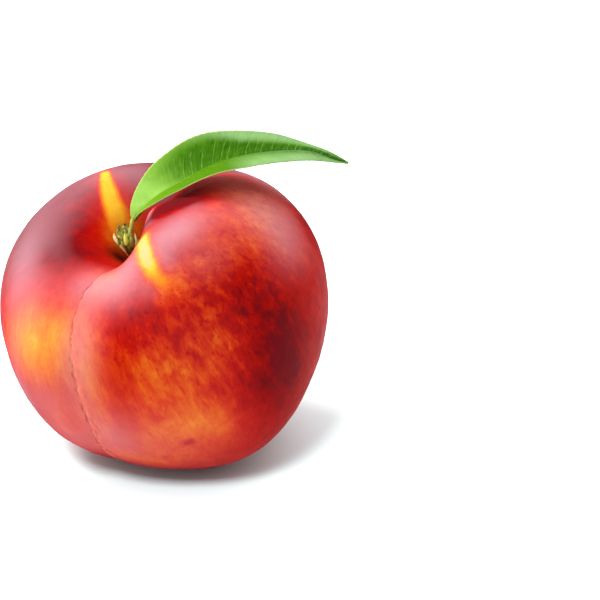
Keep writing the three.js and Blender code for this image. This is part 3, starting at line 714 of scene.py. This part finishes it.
    # painted shade in the fold beside the midrib on the far half, painted reflection as paler green towards the tip and
    # the far margin
    lo = np.interp(S, [0, 0.3, 0.45, 0.55, 0.65, 0.8, 1.0], [0.45, 0.62, 0.60, 0.40, 0.26, 0.22, 0.7])
    inner = np.interp(S, [0, 0.45, 0.6, 0.8, 1.0], [-0.03, -0.10, -0.30, -0.42, -0.45])
    dark = smooth(inner, inner + np.interp(S, [0, 0.4, 0.6, 1], [0.06, 0.16, 0.26, 0.26]), Vv) * smooth(0.16, 0.36, S) * (1 - smooth(lo, lo + 0.34, Vv))
    p0 = np.interp(S, [0, 0.28, 0.42, 0.55, 1.0], [0.8, 0.8, 0.70, 0.40, 0.30])
    pale = np.where(Vv > 0, smooth(p0, p0 + 0.42, Vv) * np.interp(S, [0, 0.22, 0.32, 0.42, 0.55, 0.72, 0.86, 1], [0.3, 0.2, 0.45, 0.95, 1.05, 1.15, 0.7, 0.3]),
                    (0.40 + 0.60 * smooth(0.15, 0.75, -Vv)) * np.interp(S, [0, 0.44, 0.50, 0.57, 0.8, 0.9, 1], [0, 0.0, 0.35, 0.80, 1.0, 0.7, 0.4]))
    lam = np.stack([A - 0.42 * across, across, np.sign(Vv) * 9.0], -1).reshape(-1, 3)
    margin = np.exp(-((1 - np.abs(Vv)) * half / 0.16) ** 2) * (1 - smooth(0.45, 0.8, S) * 0.8)
    attrs = {
        "dark": np.concatenate([dark.ravel()] * 2),
        "pale": np.concatenate([pale.ravel()] * 2),
        "margin": np.concatenate([margin.ravel()] * 2),
        "vein": np.concatenate([vein.ravel()] * 2),
        "rib": np.concatenate([rib.ravel()] * 2),
        "along": np.concatenate([S.ravel()] * 2),
        "across": np.concatenate([Vv.ravel()] * 2),
        "under": np.concatenate([np.zeros(n1), np.ones(n1)]),
    }
    # petiole: a channelled stalk that runs on into the midrib's underside
    path = soften(catmull(PETIOLE_PATH, 60), 4)
    tang = np.gradient(path, axis=0)
    tang /= np.linalg.norm(tang, axis=1, keepdims=True)
    ref = np.array([0.25, -0.93, 0.25])
    nseg = 28
    base = len(verts)
    rings = []
    for i in range(len(path)):
        t = i / (len(path) - 1)
        side = np.cross(tang[i], ref)
        side /= np.linalg.norm(side)
        out = np.cross(side, tang[i])
        r = 0.62 * (1.25 - 0.45 * smooth(0, 0.35, t)) * (1 - 0.35 * smooth(0.7, 1, t))
        for j in range(nseg):
            w = 2 * math.pi * j / nseg
            groove = 1 - 0.28 * math.exp(-((wrap(w - math.pi / 2)) / 0.5) ** 2)
            rr = r * groove * (1 + 0.03 * math.sin(5 * w + 9 * t))
            rings.append(path[i] + rr * (math.cos(w) * side - math.sin(w) * out) - out * 0.25)
    verts = np.vstack([verts, np.array(rings), path[:1] - tang[:1] * 0.1, path[-1:] + tang[-1:] * 0.2])
    faces += grid_faces(len(path), nseg, True, base=base)
    c0 = base + len(path) * nseg
    for j in range(nseg):
        k = (j + 1) % nseg
        faces.append((c0, base + k, base + j))
        last = base + (len(path) - 1) * nseg
        faces.append((c0 + 1, last + j, last + k))
    extra = len(verts) - base
    for key, val in (("dark", 0.0), ("pale", 0.0), ("margin", 0.0), ("vein", 0.0), ("rib", 1.0), ("along", 0.0), ("across", 0.0), ("under", 0.0)):
        attrs[key] = np.concatenate([attrs[key], np.full(extra, val)])
    up_stalk = np.repeat(np.linspace(0, 1, len(path)), nseg)
    lamina = np.concatenate([lam, lam, np.zeros((extra, 3))])
    attrs["stalk"] = np.concatenate([np.zeros(base), smooth(1.02, 0.72, up_stalk), [1.0, 0.0]])
    attrs["side"] = np.concatenate([np.zeros(base), np.tile(np.cos(2 * np.pi * np.arange(nseg) / nseg), len(path)), [0.0, 0.0]])
    obj = make_object("leaf_green", verts * MM, faces)
    for key, val in attrs.items():
        add_float(obj, key, val)
    add_vector(obj, "lamina", lamina)
    return obj


def leaf_material():
    m = Nodes("leaf_green")
    obj = m.object_coords()
    along, across, vein, rib, under = (m.attr(k) for k in ("along", "across", "vein", "rib", "under"))
    patchy = m.noise(obj, 160.0, 4.0, 0.6)
    cells = m.noise(obj, 700.0, 3.0, 0.6)
    fine = m.noise(obj, 1500.0, 2.0, 0.6)
    lamina = m.attr("lamina", "Vector")
    strokes = m.noise(m.scale(lamina, (1.0, 0.20, 1.0)), 1.15, 3.0, 0.6, 0.3)
    threads = m.noise(m.scale(lamina, (1.0, 0.12, 1.0)), 2.9, 2.0, 0.5, 0.2)
    # painted light: both halves lighter near the stalk, where the blade faces the lamps
    far_half = m.ramp(along, [(0.0, (0.27, 0.47, 0.085, 1)), (0.14, (0.255, 0.46, 0.080, 1)), (0.22, (0.180, 0.365, 0.040, 1)), (0.33, (0.078, 0.205, 0.005, 1)), (1.0, (0.068, 0.19, 0.008, 1))])
    near_half = m.ramp(along, [(0.0, (0.17, 0.30, 0.020, 1)), (0.12, (0.10, 0.225, 0.003, 1)), (0.25, (0.062, 0.165, 0.0005, 1)), (0.45, (0.052, 0.150, 0.0005, 1)), (0.6, (0.085, 0.205, 0.006, 1)), (1.0, (0.05, 0.14, 0.006, 1))])
    color = m.mix(m.step(across, -0.06, 0.02), near_half, far_half)
    # painted shade: darker green in the fold beside the midrib on the far half, streaked with darker threads
    deep = m.ramp(along, [(0.3, (0.030, 0.120, 0.0006, 1)), (0.6, (0.022, 0.098, 0.0006, 1)), (0.85, (0.010, 0.072, 0.002, 1))])
    dark = m.attr("dark")
    color = m.mix(m.mul(dark, m.step(strokes, 0.25, 0.5, 0.62, 1.0)), color, deep)
    # painted reflection: paler green towards the tip and the far margin
    color = m.mix(m.mul(m.attr("pale"), m.step(strokes, 0.3, 0.7, 0.95, 0.72)), color, (0.215, 0.375, 0.150, 1))
    color = m.mix(m.mul(dark, m.step(threads, 0.50, 0.66, 0.0, 0.55)), color, (0.014, 0.062, 0.0008, 1))
    color = m.mix(m.step(threads, 0.44, 0.30, 0.0, 0.22), color, (0.16, 0.32, 0.020, 1))
    color = m.mix(m.step(patchy, 0.35, 0.8, 0.0, 0.24), color, (0.045, 0.15, 0.001, 1))
    color = m.mix(m.step(cells, 0.45, 0.85, 0.0, 0.20), color, (0.11, 0.25, 0.006, 1))
    color = m.mix(m.mul(vein, m.step(along, 0.12, 0.30, 0.15, 0.62)), color, (0.22, 0.40, 0.07, 1))
    color = m.mix(m.mul(rib, m.step(along, 0.50, 0.25, 0.0, 0.30)), color, (0.12, 0.26, 0.006, 1))
    color = m.mix(m.mul(m.attr("margin"), 0.85), color, (0.46, 0.47, 0.15, 1))
    color = m.mix(m.mul(under, 0.5), color, (0.19, 0.30, 0.09, 1))
    ribs = m.noise(m.scale(obj, (1.0, 1.0, 0.2)), 3200.0, 2.0, 0.5)
    stalk = m.mix(m.step(ribs, 0.40, 0.62), (0.31, 0.37, 0.040, 1), (0.60, 0.62, 0.19, 1))
    stalk = m.mix(m.step(m.attr("side"), 0.62, 0.95, 0.0, 0.8), stalk, (0.66, 0.52, 0.24, 1))
    color = m.mix(m.attr("stalk"), color, stalk)
    normal = m.bump(m.add(m.mul(fine, 0.6), m.add(m.mul(cells, 0.8), patchy)), 0.00006, 0.4)
    rough = m.step(fine, 0.25, 0.75, 0.42, 0.55)
    p = m.principled(color, Roughness=rough, Normal=normal)
    p.inputs["Specular IOR Level"].default_value = 0.015
    trans = m.tree.nodes.new("ShaderNodeBsdfTranslucent")
    m.tree.links.new(m.mix(0.25, color, (0.18, 0.38, 0.004, 1)), trans.inputs["Color"])
    mixer = m.tree.nodes.new("ShaderNodeMixShader")
    mixer.inputs[0].default_value = 0.16
    m.tree.links.new(p.outputs[0], mixer.inputs[1])
    m.tree.links.new(trans.outputs[0], mixer.inputs[2])
    return m.output(mixer.outputs[0])


leaf = build_leaf()
leaf.data.materials.append(leaf_material())
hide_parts("leaf")
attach(leaf, "root")

# ------------------------------------------------------------- stem cluster
class Piece:
    """Collects closed patches (mm) with point attributes and turns them into one object."""

    def __init__(self):
        self.verts, self.faces, self.attrs, self.count = [], [], {}, 0

    def add(self, verts, faces, **attrs):
        verts = np.asarray(verts, float).reshape(-1, 3)
        self.faces += [tuple(i + self.count for i in f) for f in faces]
        for key in set(self.attrs) | set(attrs):
            value = np.broadcast_to(np.asarray(attrs.get(key, 0.0), float).ravel() if np.ndim(attrs.get(key, 0.0)) else attrs.get(key, 0.0), (len(verts),))
            self.attrs.setdefault(key, [np.zeros(self.count)] if self.count else [])
            self.attrs[key].append(value)
        self.verts.append(verts)
        self.count += len(verts)

    def build(self, name, material, node):
        obj = make_object(name, np.vstack(self.verts) * MM, self.faces)
        for key, parts in self.attrs.items():
            add_float(obj, key, np.concatenate(parts))
        obj.data.materials.append(material)
        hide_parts(node)
        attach(obj, "root")
        return obj


def basis(axis, hint):
    """Unit vectors: axis, one square to it nearest to hint, and the third."""
    axis = np.asarray(axis, float)
    axis = axis / np.linalg.norm(axis)
    out = np.asarray(hint, float) - axis * np.dot(hint, axis)
    out = out / np.linalg.norm(out)
    return axis, out, np.cross(axis, out)


def shell(outer, inner, nu, nv):
    """A closed sheet between two nu x nv point grids."""
    n = nu * nv
    faces = grid_faces(nu, nv, False) + grid_faces(nu, nv, False, base=n, flip=True)
    for i in range(nu - 1):
        for j, flip in ((0, False), (nv - 1, True)):
            q = (i * nv + j, (i + 1) * nv + j, n + (i + 1) * nv + j, n + i * nv + j)
            faces.append(q[::-1] if flip else q)
    for j in range(nv - 1):
        for i, flip in ((0, True), (nu - 1, False)):
            q = (i * nv + j, i * nv + j + 1, n + i * nv + j + 1, n + i * nv + j)
            faces.append(q[::-1] if flip else q)
    return np.concatenate([outer.reshape(-1, 3), inner.reshape(-1, 3)]), faces


BUD_PROFILE = np.array([[0, 0], [0.55, 0.02], [0.9, 0.16], [1, 0.34], [0.86, 0.56], [0.56, 0.78], [0.22, 0.94], [0, 1]])


def bud_radius(t):
    return np.interp(t, BUD_PROFILE[:, 1], BUD_PROFILE[:, 0])


def build_bud(name, node, material, foot, tip, r, scales, flare, hint, seed):
    """A winter bud: a pointed core wrapped in overlapping scales."""
    foot, tip = np.array(foot, float), np.array(tip, float)
    axis, out, third = basis(tip - foot, hint)
    length = np.linalg.norm(tip - foot)
    rnd = np.random.default_rng(seed)
    piece = Piece()
    nt, ns = 26, 28
    t = np.linspace(0.01, 0.97, nt)
    w = 2 * np.pi * np.arange(ns) / ns
    rad = 0.80 * r * np.maximum(bud_radius(t), 0.05)
    ring = foot + axis * (t * length)[:, None, None] + rad[:, None, None] * (np.cos(w)[None, :, None] * out + np.sin(w)[None, :, None] * third)
    verts = np.vstack([ring.reshape(-1, 3), foot, foot + axis * length * 0.985])
    faces = grid_faces(nt, ns, True)
    for j in range(ns):
        k = (j + 1) % ns
        faces.append((nt * ns, k, j))
        faces.append((nt * ns + 1, (nt - 1) * ns + j, (nt - 1) * ns + k))
    piece.add(verts, faces, core=1.0, u=0.5, rim=0.0, tone=0.0)
    nu, nv = 26, 15
    u = np.linspace(0, 1, nu)
    v = np.linspace(-1, 1, nv)
    for k in range(scales):
        layer = k // 2
        turn = math.radians(137.5) * k + 0.3 * rnd.standard_normal()
        start = 0.02 + 0.07 * layer
        span = (0.98 - start) * (1.0 - 0.13 * max(0, 2 - layer)) * (1 + 0.04 * rnd.standard_normal())
        half = 1.25 * np.maximum(1 - u ** 2.6, 0.0) ** 0.75 * np.clip(0.65 + u * 2, 0, 1) + 0.02
        open_out = flare * (1.0 if layer == 0 else 0.35) * u ** 2.2
        tt = np.clip(start + u * span, 0, 1)
        base_r = r * (0.84 + 0.05 * (scales // 2 - layer)) * np.maximum(bud_radius(tt), 0.10)
        ang = turn + v[None, :] * half[:, None]
        lift = 0.05 * np.cos(v * 1.5)[None, :] * np.ones((nu, 1))
        sheets = []
        for thick in (0.07, 0.0):
            rr = base_r[:, None] + open_out[:, None] * (1 - 0.5 * v[None, :] ** 2) + lift + thick * (1 - 0.6 * np.abs(v[None, :]) ** 4)
            sheets.append(foot + axis * (tt * length)[:, None, None] + rr[..., None] * (np.cos(ang)[..., None] * out + np.sin(ang)[..., None] * third))
        pts, fcs = shell(sheets[0], sheets[1], nu, nv)
        U = np.repeat(u[:, None], nv, 1)
        rim = np.maximum(np.abs(v[None, :]) ** 6 * np.ones((nu, 1)), smooth(0.86, 1.0, U))
        piece.add(pts, fcs, core=0.0, u=np.concatenate([U.ravel()] * 2), rim=np.concatenate([rim.ravel()] * 2), tone=rnd.random())
    return piece.build(name, material, node)


def strap(path, widths, thick, hint, curl, seed, nu=90, nv=17):
    """A thin curved scale, channelled along its middle: points, faces, along, across."""
    p = soften(catmull(path, nu), max(1.0, nu / 30))
    tang = np.gradient(p, axis=0)
    u = np.linspace(0, 1, nu)
    wd = np.interp(u, np.linspace(0, 1, len(widths)), widths) / 2
    wd = wd * (1 + 0.06 * np.sin(u * 31 + seed))
    v = np.linspace(-1, 1, nv)
    outer, inner = np.zeros((nu, nv, 3)), np.zeros((nu, nv, 3))
    for i in range(nu):
        axis, out, third = basis(tang[i], hint)
        turn = 0.35 * math.sin(u[i] * 3 + seed)
        side = math.cos(turn) * third + math.sin(turn) * out
        face = np.cross(side, axis)
        dip = curl * wd[i] * (v ** 2) + 0.02 * np.sin(v * 9 + u[i] * 14)
        mid = p[i] + v[:, None] * wd[i] * side - dip[:, None] * face
        th = thick * (1 - 0.5 * np.abs(v) ** 3) * (0.55 + 0.45 * math.sin(math.pi * min(u[i] * 1.1 + 0.12, 1.0)))
        outer[i] = mid + face * th[:, None] / 2
        inner[i] = mid - face * th[:, None] / 2
    pts, fcs = shell(outer, inner, nu, nv)
    U = np.repeat(u[:, None], nv, 1)
    V = np.repeat(np.abs(v)[None, :], nu, 0)
    return pts, fcs, np.concatenate([U.ravel()] * 2), np.concatenate([V.ravel()] * 2)


def build_strap(name, node, material, path, widths, thick, hint, curl, seed):
    pts, fcs, along, across = strap(path, widths, thick, hint, curl, seed)
    piece = Piece()
    piece.add(pts, fcs, u=along, rim=across ** 3, tone=0.5, core=0.0)
    return piece.build(name, material, node)


# small bracts that fill the gaps between the buds: path, width, tone
BRACTS = [
    ([(-9.56, -5.6, 55.46), (-10.1, -6.1, 56.28), (-10.86, -5.7, 56.62)], 0.55, 0.95),
    ([(-8, -5.2, 53.01), (-7.53, -5.9, 54.83), (-7.86, -5.2, 56.36)], 1.15, 0.55),
    ([(-8.91, -5.6, 53.43), (-9.54, -6.3, 54.74), (-9.93, -5.9, 55.69)], 0.65, 0.70),
    ([(-7.99, -4.6, 55.04), (-7.9, -5, 56.73), (-8.38, -4.2, 58.22)], 0.90, 0.80),
    ([(-8.21, -4.2, 51.31), (-8.79, -5.2, 52.63), (-9.16, -5.5, 53.9)], 0.80, 0.25),
    ([(-7.01, -4.4, 52.42), (-6.88, -5.2, 53.9), (-7.34, -4.9, 55.04)], 0.70, 0.35),
    ([(-10.06, -4.4, 56.73), (-10.44, -4.9, 58.08), (-10.49, -4.4, 59.06)], 0.60, 0.10),
    ([(-9.44, -4.9, 52.37), (-10.2, -5.3, 54.07), (-10.8, -5, 55.59)], 1.10, 0.30),
    ([(-7.87, -5.6, 53.05), (-7.52, -6, 55.12), (-7.6, -5.6, 56.6)], 1.35, 0.62),
    ([(-9.76, -4.7, 54.07), (-9.99, -4.9, 55.68), (-10.29, -4.5, 56.77)], 1.25, 0.42),
]


def build_spur(material):
    """The woody fruit stalk: fluted, ringed with scars, swollen under the buds."""
    foot, top = np.array(SPUR_FOOT), np.array(SPUR_TOP)
    axis, out, third = basis(top - foot, (-0.3, -1.0, 0.2))
    length = np.linalg.norm(top - foot)
    nt, ns = 150, 96
    t = np.linspace(0.0, 1.0, nt)
    prof = np.array(SPUR_PROFILE)
    rad = np.interp(t, prof[:, 1], prof[:, 0])
    rad = np.convolve(np.pad(rad, 6, "edge"), np.ones(13) / 13, "valid")
    rad = rad * np.sqrt(np.clip((1.0 - t) / 0.06, 0.0, 1.0)) ** 0.6
    w = 2 * np.pi * np.arange(ns) / ns
    T, W = np.meshgrid(t, w, indexing="ij")
    flutes = 0.06 * np.cos(7 * W + 1.2 * T) * np.clip(T * 1.5, 0, 1)
    rings = 0.05 * np.exp(-((T - 0.30) / 0.012) ** 2) + 0.06 * np.exp(-((T - 0.62) / 0.015) ** 2) + 0.05 * np.exp(-((T - 0.83) / 0.02) ** 2)
    knobs = np.zeros_like(T)
    for kt, kw, h in ((0.86, 0.6, 0.30), (0.80, 2.3, 0.26), (0.88, 3.9, 0.32), (0.78, 5.2, 0.24), (0.55, 1.4, 0.12)):
        knobs += h * np.exp(-((T - kt) / 0.07) ** 2 - (wrap(W - kw) / 0.42) ** 2)
    base = foot + axis * (T * length)[..., None]
    radial = np.cos(W)[..., None] * out + np.sin(W)[..., None] * third
    rough_pts = (base + radial * rad[:, None, None]).reshape(-1, 3) * np.array([1.0, 1.0, 0.45])
    bark = fractal(rough_pts, 2.2, 4, 11).reshape(T.shape)
    R = rad[:, None] * (1 + flutes) + (rings + knobs + 0.07 * bark) * np.clip(rad[:, None], 0, 1)
    P = base + radial * R[..., None]
    P[-1] = top + axis * 0.02
    # the foot follows the fruit's surface
    for i in range(nt):
        d = P[i] - FRUIT_CENTRE
        l = d @ AXES.T
        r = np.linalg.norm(l, axis=1)
        need = fruit_radius(np.arccos(np.clip(l[:, 2] / r, -1, 1)), np.arctan2(l[:, 1], l[:, 0])) + 0.05
        P[i] = FRUIT_CENTRE + d * np.where(r < need, need / r, 1.0)[:, None]
    faces = grid_faces(nt, ns, True)
    verts = np.vstack([P.reshape(-1, 3), P[0].mean(0)])
    for j in range(ns):
        faces.append((nt * ns, (j + 1) % ns, j))
    piece = Piece()
    grow = np.append((flutes * 6 + bark * 0.8).ravel(), 0.0)
    piece.add(verts, faces, u=np.append(T.ravel(), 0.0), ridge=grow, knob=np.append((knobs + rings * 3).ravel(), 0.0), bract=0.0, tone=0.0, rim=0.0)
    for k, (line, wide, tone) in enumerate(BRACTS):
        pts, fcs, along, across = strap(line, [wide * 0.7, wide, wide * 0.85, wide * 0.45, 0.05], 0.16, (-0.1, -1.0, 0.2), 0.45, k * 2.1, 40, 11)
        piece.add(pts, fcs, u=along, ridge=0.0, knob=0.0, bract=1.0, tone=tone, rim=across ** 4)
    return piece.build("spur_stalk", material, "spur")


def spur_material():
    m = Nodes("spur_bark")
    obj = m.object_coords()
    u, ridge, knob = m.attr("u"), m.attr("ridge"), m.attr("knob")
    fibre = m.noise(m.scale(obj, (1.0, 1.0, 0.3)), 2400.0, 4.0, 0.6, 0.4)
    mottled = m.noise(obj, 900.0, 3.0, 0.6)
    color = m.ramp(u, [(0.0, (0.045, 0.020, 0.005, 1)), (0.35, (0.075, 0.065, 0.008, 1)), (0.6, (0.13, 0.19, 0.012, 1)), (0.85, (0.21, 0.31, 0.020, 1)), (1.0, (0.14, 0.15, 0.018, 1))])
    color = m.mix(m.step(fibre, 0.42, 0.66, 0.0, 0.65), color, (0.21, 0.23, 0.045, 1))
    color = m.mix(m.step(mottled, 0.56, 0.70, 0.0, 0.7), color, (0.045, 0.026, 0.008, 1))
    color = m.mix(m.step(ridge, -0.15, -0.55, 0.0, 0.75), color, (0.025, 0.016, 0.004, 1))
    color = m.mix(m.step(knob, 0.08, 0.26, 0.0, 0.55), color, (0.24, 0.27, 0.06, 1))
    leafy = m.ramp(m.attr("tone"), [(0.0, (0.060, 0.040, 0.010, 1)), (0.25, (0.11, 0.12, 0.015, 1)), (0.55, (0.22, 0.38, 0.024, 1)),
                                    (0.80, (0.40, 0.44, 0.090, 1)), (1.0, (0.60, 0.62, 0.170, 1))])
    leafy = m.mix(m.step(u, 0.45, 0.0, 0.0, 0.75), leafy, (0.050, 0.060, 0.006, 1))
    leafy = m.mix(m.step(fibre, 0.42, 0.62, 0.0, 0.5), leafy, (0.40, 0.46, 0.09, 1))
    leafy = m.mix(m.mul(m.attr("rim"), 0.6), leafy, (0.52, 0.52, 0.16, 1))
    color = m.mix(m.attr("bract"), color, leafy)
    normal = m.bump(m.add(fibre, m.mul(mottled, 0.5)), 0.00008, 0.6)
    p = m.principled(color, Roughness=m.step(fibre, 0.3, 0.7, 0.62, 0.82), Normal=normal)
    p.inputs["Specular IOR Level"].default_value = 0.05
    return m.output(p.outputs[0])


def bud_material(name, body, light, base, tip, rim, core, tip_from):
    m = Nodes(name)
    obj = m.object_coords()
    u, edge, tone, inside = m.attr("u"), m.attr("rim"), m.attr("tone"), m.attr("core")
    fibre = m.noise(m.scale(obj, (1.0, 1.0, 0.25)), 3200.0, 3.0, 0.6, 0.3)
    speck = m.noise(obj, 2600.0, 2.0, 0.7)
    color = m.mix(tone, body, light)
    color = m.mix(m.step(u, 0.35, 0.0, 0.0, 0.7), color, base)
    color = m.mix(m.step(fibre, 0.42, 0.68, 0.0, 0.45), color, light)
    color = m.mix(m.step(fibre, 0.46, 0.30, 0.0, 0.45), color, base)
    color = m.mix(m.mul(edge, 0.75), color, rim)
    color = m.mix(m.step(m.add(u, m.mul(m.math("SUBTRACT", fibre, 0.5), 0.35)), tip_from, 1.0, 0.0, 0.92), color, tip)
    color = m.mix(m.step(speck, 0.66, 0.76, 0.0, 0.6), color, tip)
    color = m.mix(m.mul(inside, 0.9), color, core)
    normal = m.bump(m.add(fibre, m.mul(speck, 0.3)), 0.00006, 0.5)
    p = m.principled(color, Roughness=m.step(fibre, 0.3, 0.7, 0.50, 0.68), Normal=normal)
    p.inputs["Specular IOR Level"].default_value = 0.06
    return m.output(p.outputs[0])


SPUR_FOOT, SPUR_TOP = (-5.5, -2.8, 48.2), (-8.33, -3.57, 54.61)
SPUR_PROFILE = [(1.35, 0), (1.2, 0.12), (1.12, 0.3), (1.2, 0.55), (1.42, 0.8), (1.5, 0.92), (1.25, 1)]
build_spur(spur_material())
green = bud_material("bud_green", (0.36, 0.54, 0.040, 1), (0.62, 0.74, 0.13, 1), (0.10, 0.17, 0.008, 1),
                     (0.55, 0.60, 0.16, 1), (0.50, 0.56, 0.12, 1), (0.05, 0.08, 0.005, 1), 0.72)
olive = bud_material("bud_olive", (0.22, 0.23, 0.030, 1), (0.46, 0.44, 0.100, 1), (0.060, 0.070, 0.006, 1),
                     (0.055, 0.026, 0.006, 1), (0.50, 0.47, 0.14, 1), (0.018, 0.016, 0.003, 1), 0.74)
straw = bud_material("bud_scale", (0.56, 0.48, 0.17, 1), (0.85, 0.74, 0.38, 1), (0.28, 0.27, 0.05, 1),
                     (0.50, 0.30, 0.08, 1), (0.66, 0.55, 0.24, 1), (0.10, 0.10, 0.02, 1), 0.88)
FRONT = (-0.2, -1.0, 0.3)
build_bud("bud_center_wrapped", "bud_center", green, (-8.55, -6.20, 54.2), (-8.90, -5.55, 57.42), 0.56, 6, 0.06, FRONT, 21)
build_bud("bud_left_wrapped", "bud_left", olive, (-9.55, -4.45, 55.0), (-10.42, -3.70, 58.35), 1.02, 8, 0.30, FRONT, 22)
build_bud("bud_rear_wrapped", "bud_rear", olive, (-8.9, -1.95, 54.6), (-9.27, -1.07, 57.9), 0.86, 7, 0.28, FRONT, 23)
build_bud("bud_right_wrapped", "bud_right", olive, (-5.9, -4.55, 53.3), (-5.52, -3.79, 55.5), 0.50, 5, 0.34, FRONT, 24)
build_strap("scale_left_strap", "scale_left", straw,
            [(-8.35, -4.45, 50.8), (-9.3, -5.15, 52.55), (-10.6, -5.1, 54.05), (-11.62, -4.55, 55.4), (-11.60, -4.05, 56.5)],
            [0.55, 0.80, 1.00, 1.10, 0.35], 0.26, (-0.75, -0.65, 0.1), 0.55, 1)
build_strap("stipule_right_strap", "stipule_right", straw,
            [(-6.75, -4.95, 52.7), (-6.32, -5.25, 53.9), (-6.30, -5.20, 55.0), (-6.55, -4.70, 56.0), (-6.80, -4.3, 56.7)],
            [0.55, 0.60, 0.55, 0.42, 0.12], 0.24, (0.35, -0.9, 0.1), 0.5, 4)

# ------------------------------------------------------------ floor, lights
WORLD_DIM, WORLD_BRIGHT = 0.54, 1.45
floor = make_object("floor", [(-4, -4, 0), (4, -4, 0), (4, 4, 0), (-4, 4, 0)], [(0, 1, 2, 3)], False)
fm = Nodes("floor")
fp = fm.principled(lin(206, 215, 216), Roughness=0.9)
fp.inputs["Specular IOR Level"].default_value = 0.0
floor.data.materials.append(fm.output(fp.outputs[0]))

world = bpy.data.worlds.new("studio")
scene.world = world
world.use_nodes = True
wt = world.node_tree
# bright white room behind and above, dimmer behind the camera
w_dir = wt.nodes.new("ShaderNodeTexCoord").outputs["Generated"]
w_dot = wt.nodes.new("ShaderNodeVectorMath")
w_dot.operation = "DOT_PRODUCT"
wt.links.new(w_dir, w_dot.inputs[0])
w_dot.inputs[1].default_value = Vector((-0.62, 0.66, 0.42)).normalized()
w_map = wt.nodes.new("ShaderNodeMapRange")
w_map.interpolation_type = "SMOOTHSTEP"
wt.links.new(w_dot.outputs["Value"], w_map.inputs["Value"])
for key, val in (("From Min", -0.75), ("From Max", 0.45), ("To Min", WORLD_DIM), ("To Max", WORLD_BRIGHT)):
    w_map.inputs[key].default_value = val
wt.links.new(w_map.outputs["Result"], wt.nodes["Background"].inputs["Strength"])
wt.nodes["Background"].inputs["Color"].default_value = (1, 1, 1, 1)


def softbox(name, direction, distance, size, power, color=(1, 1, 1), aim=(0, 0, 0.04)):
    data = bpy.data.lights.new(name, "AREA")
    data.shape = "RECTANGLE"
    data.size, data.size_y = size
    data.energy = power
    data.color = color
    obj = bpy.data.objects.new(name, data)
    scene.collection.objects.link(obj)
    d = Vector(direction).normalized()
    obj.location = Vector(aim) + d * distance
    obj.rotation_mode = "QUATERNION"
    obj.rotation_quaternion = d.to_track_quat("Z", "Y")
    obj.visible_camera = False
    return obj


softbox("key", (-0.55, 0.28, 0.78), 1.0, (0.5, 0.5), 14.5)
softbox("top", (0.30, 0.20, 0.93), 1.1, (0.9, 0.9), 5.0)

# the backdrop has its own light, so the paper stays white right up to the fruit
backdrop = softbox("backdrop", (-0.20, -0.64, 0.74), 1.5, (0.38, 0.38), 31.0, (0.90, 1.0, 1.0))
lit = bpy.data.collections.new("lit_by_backdrop")
lit.objects.link(floor)
backdrop.light_linking.receiver_collection = lit
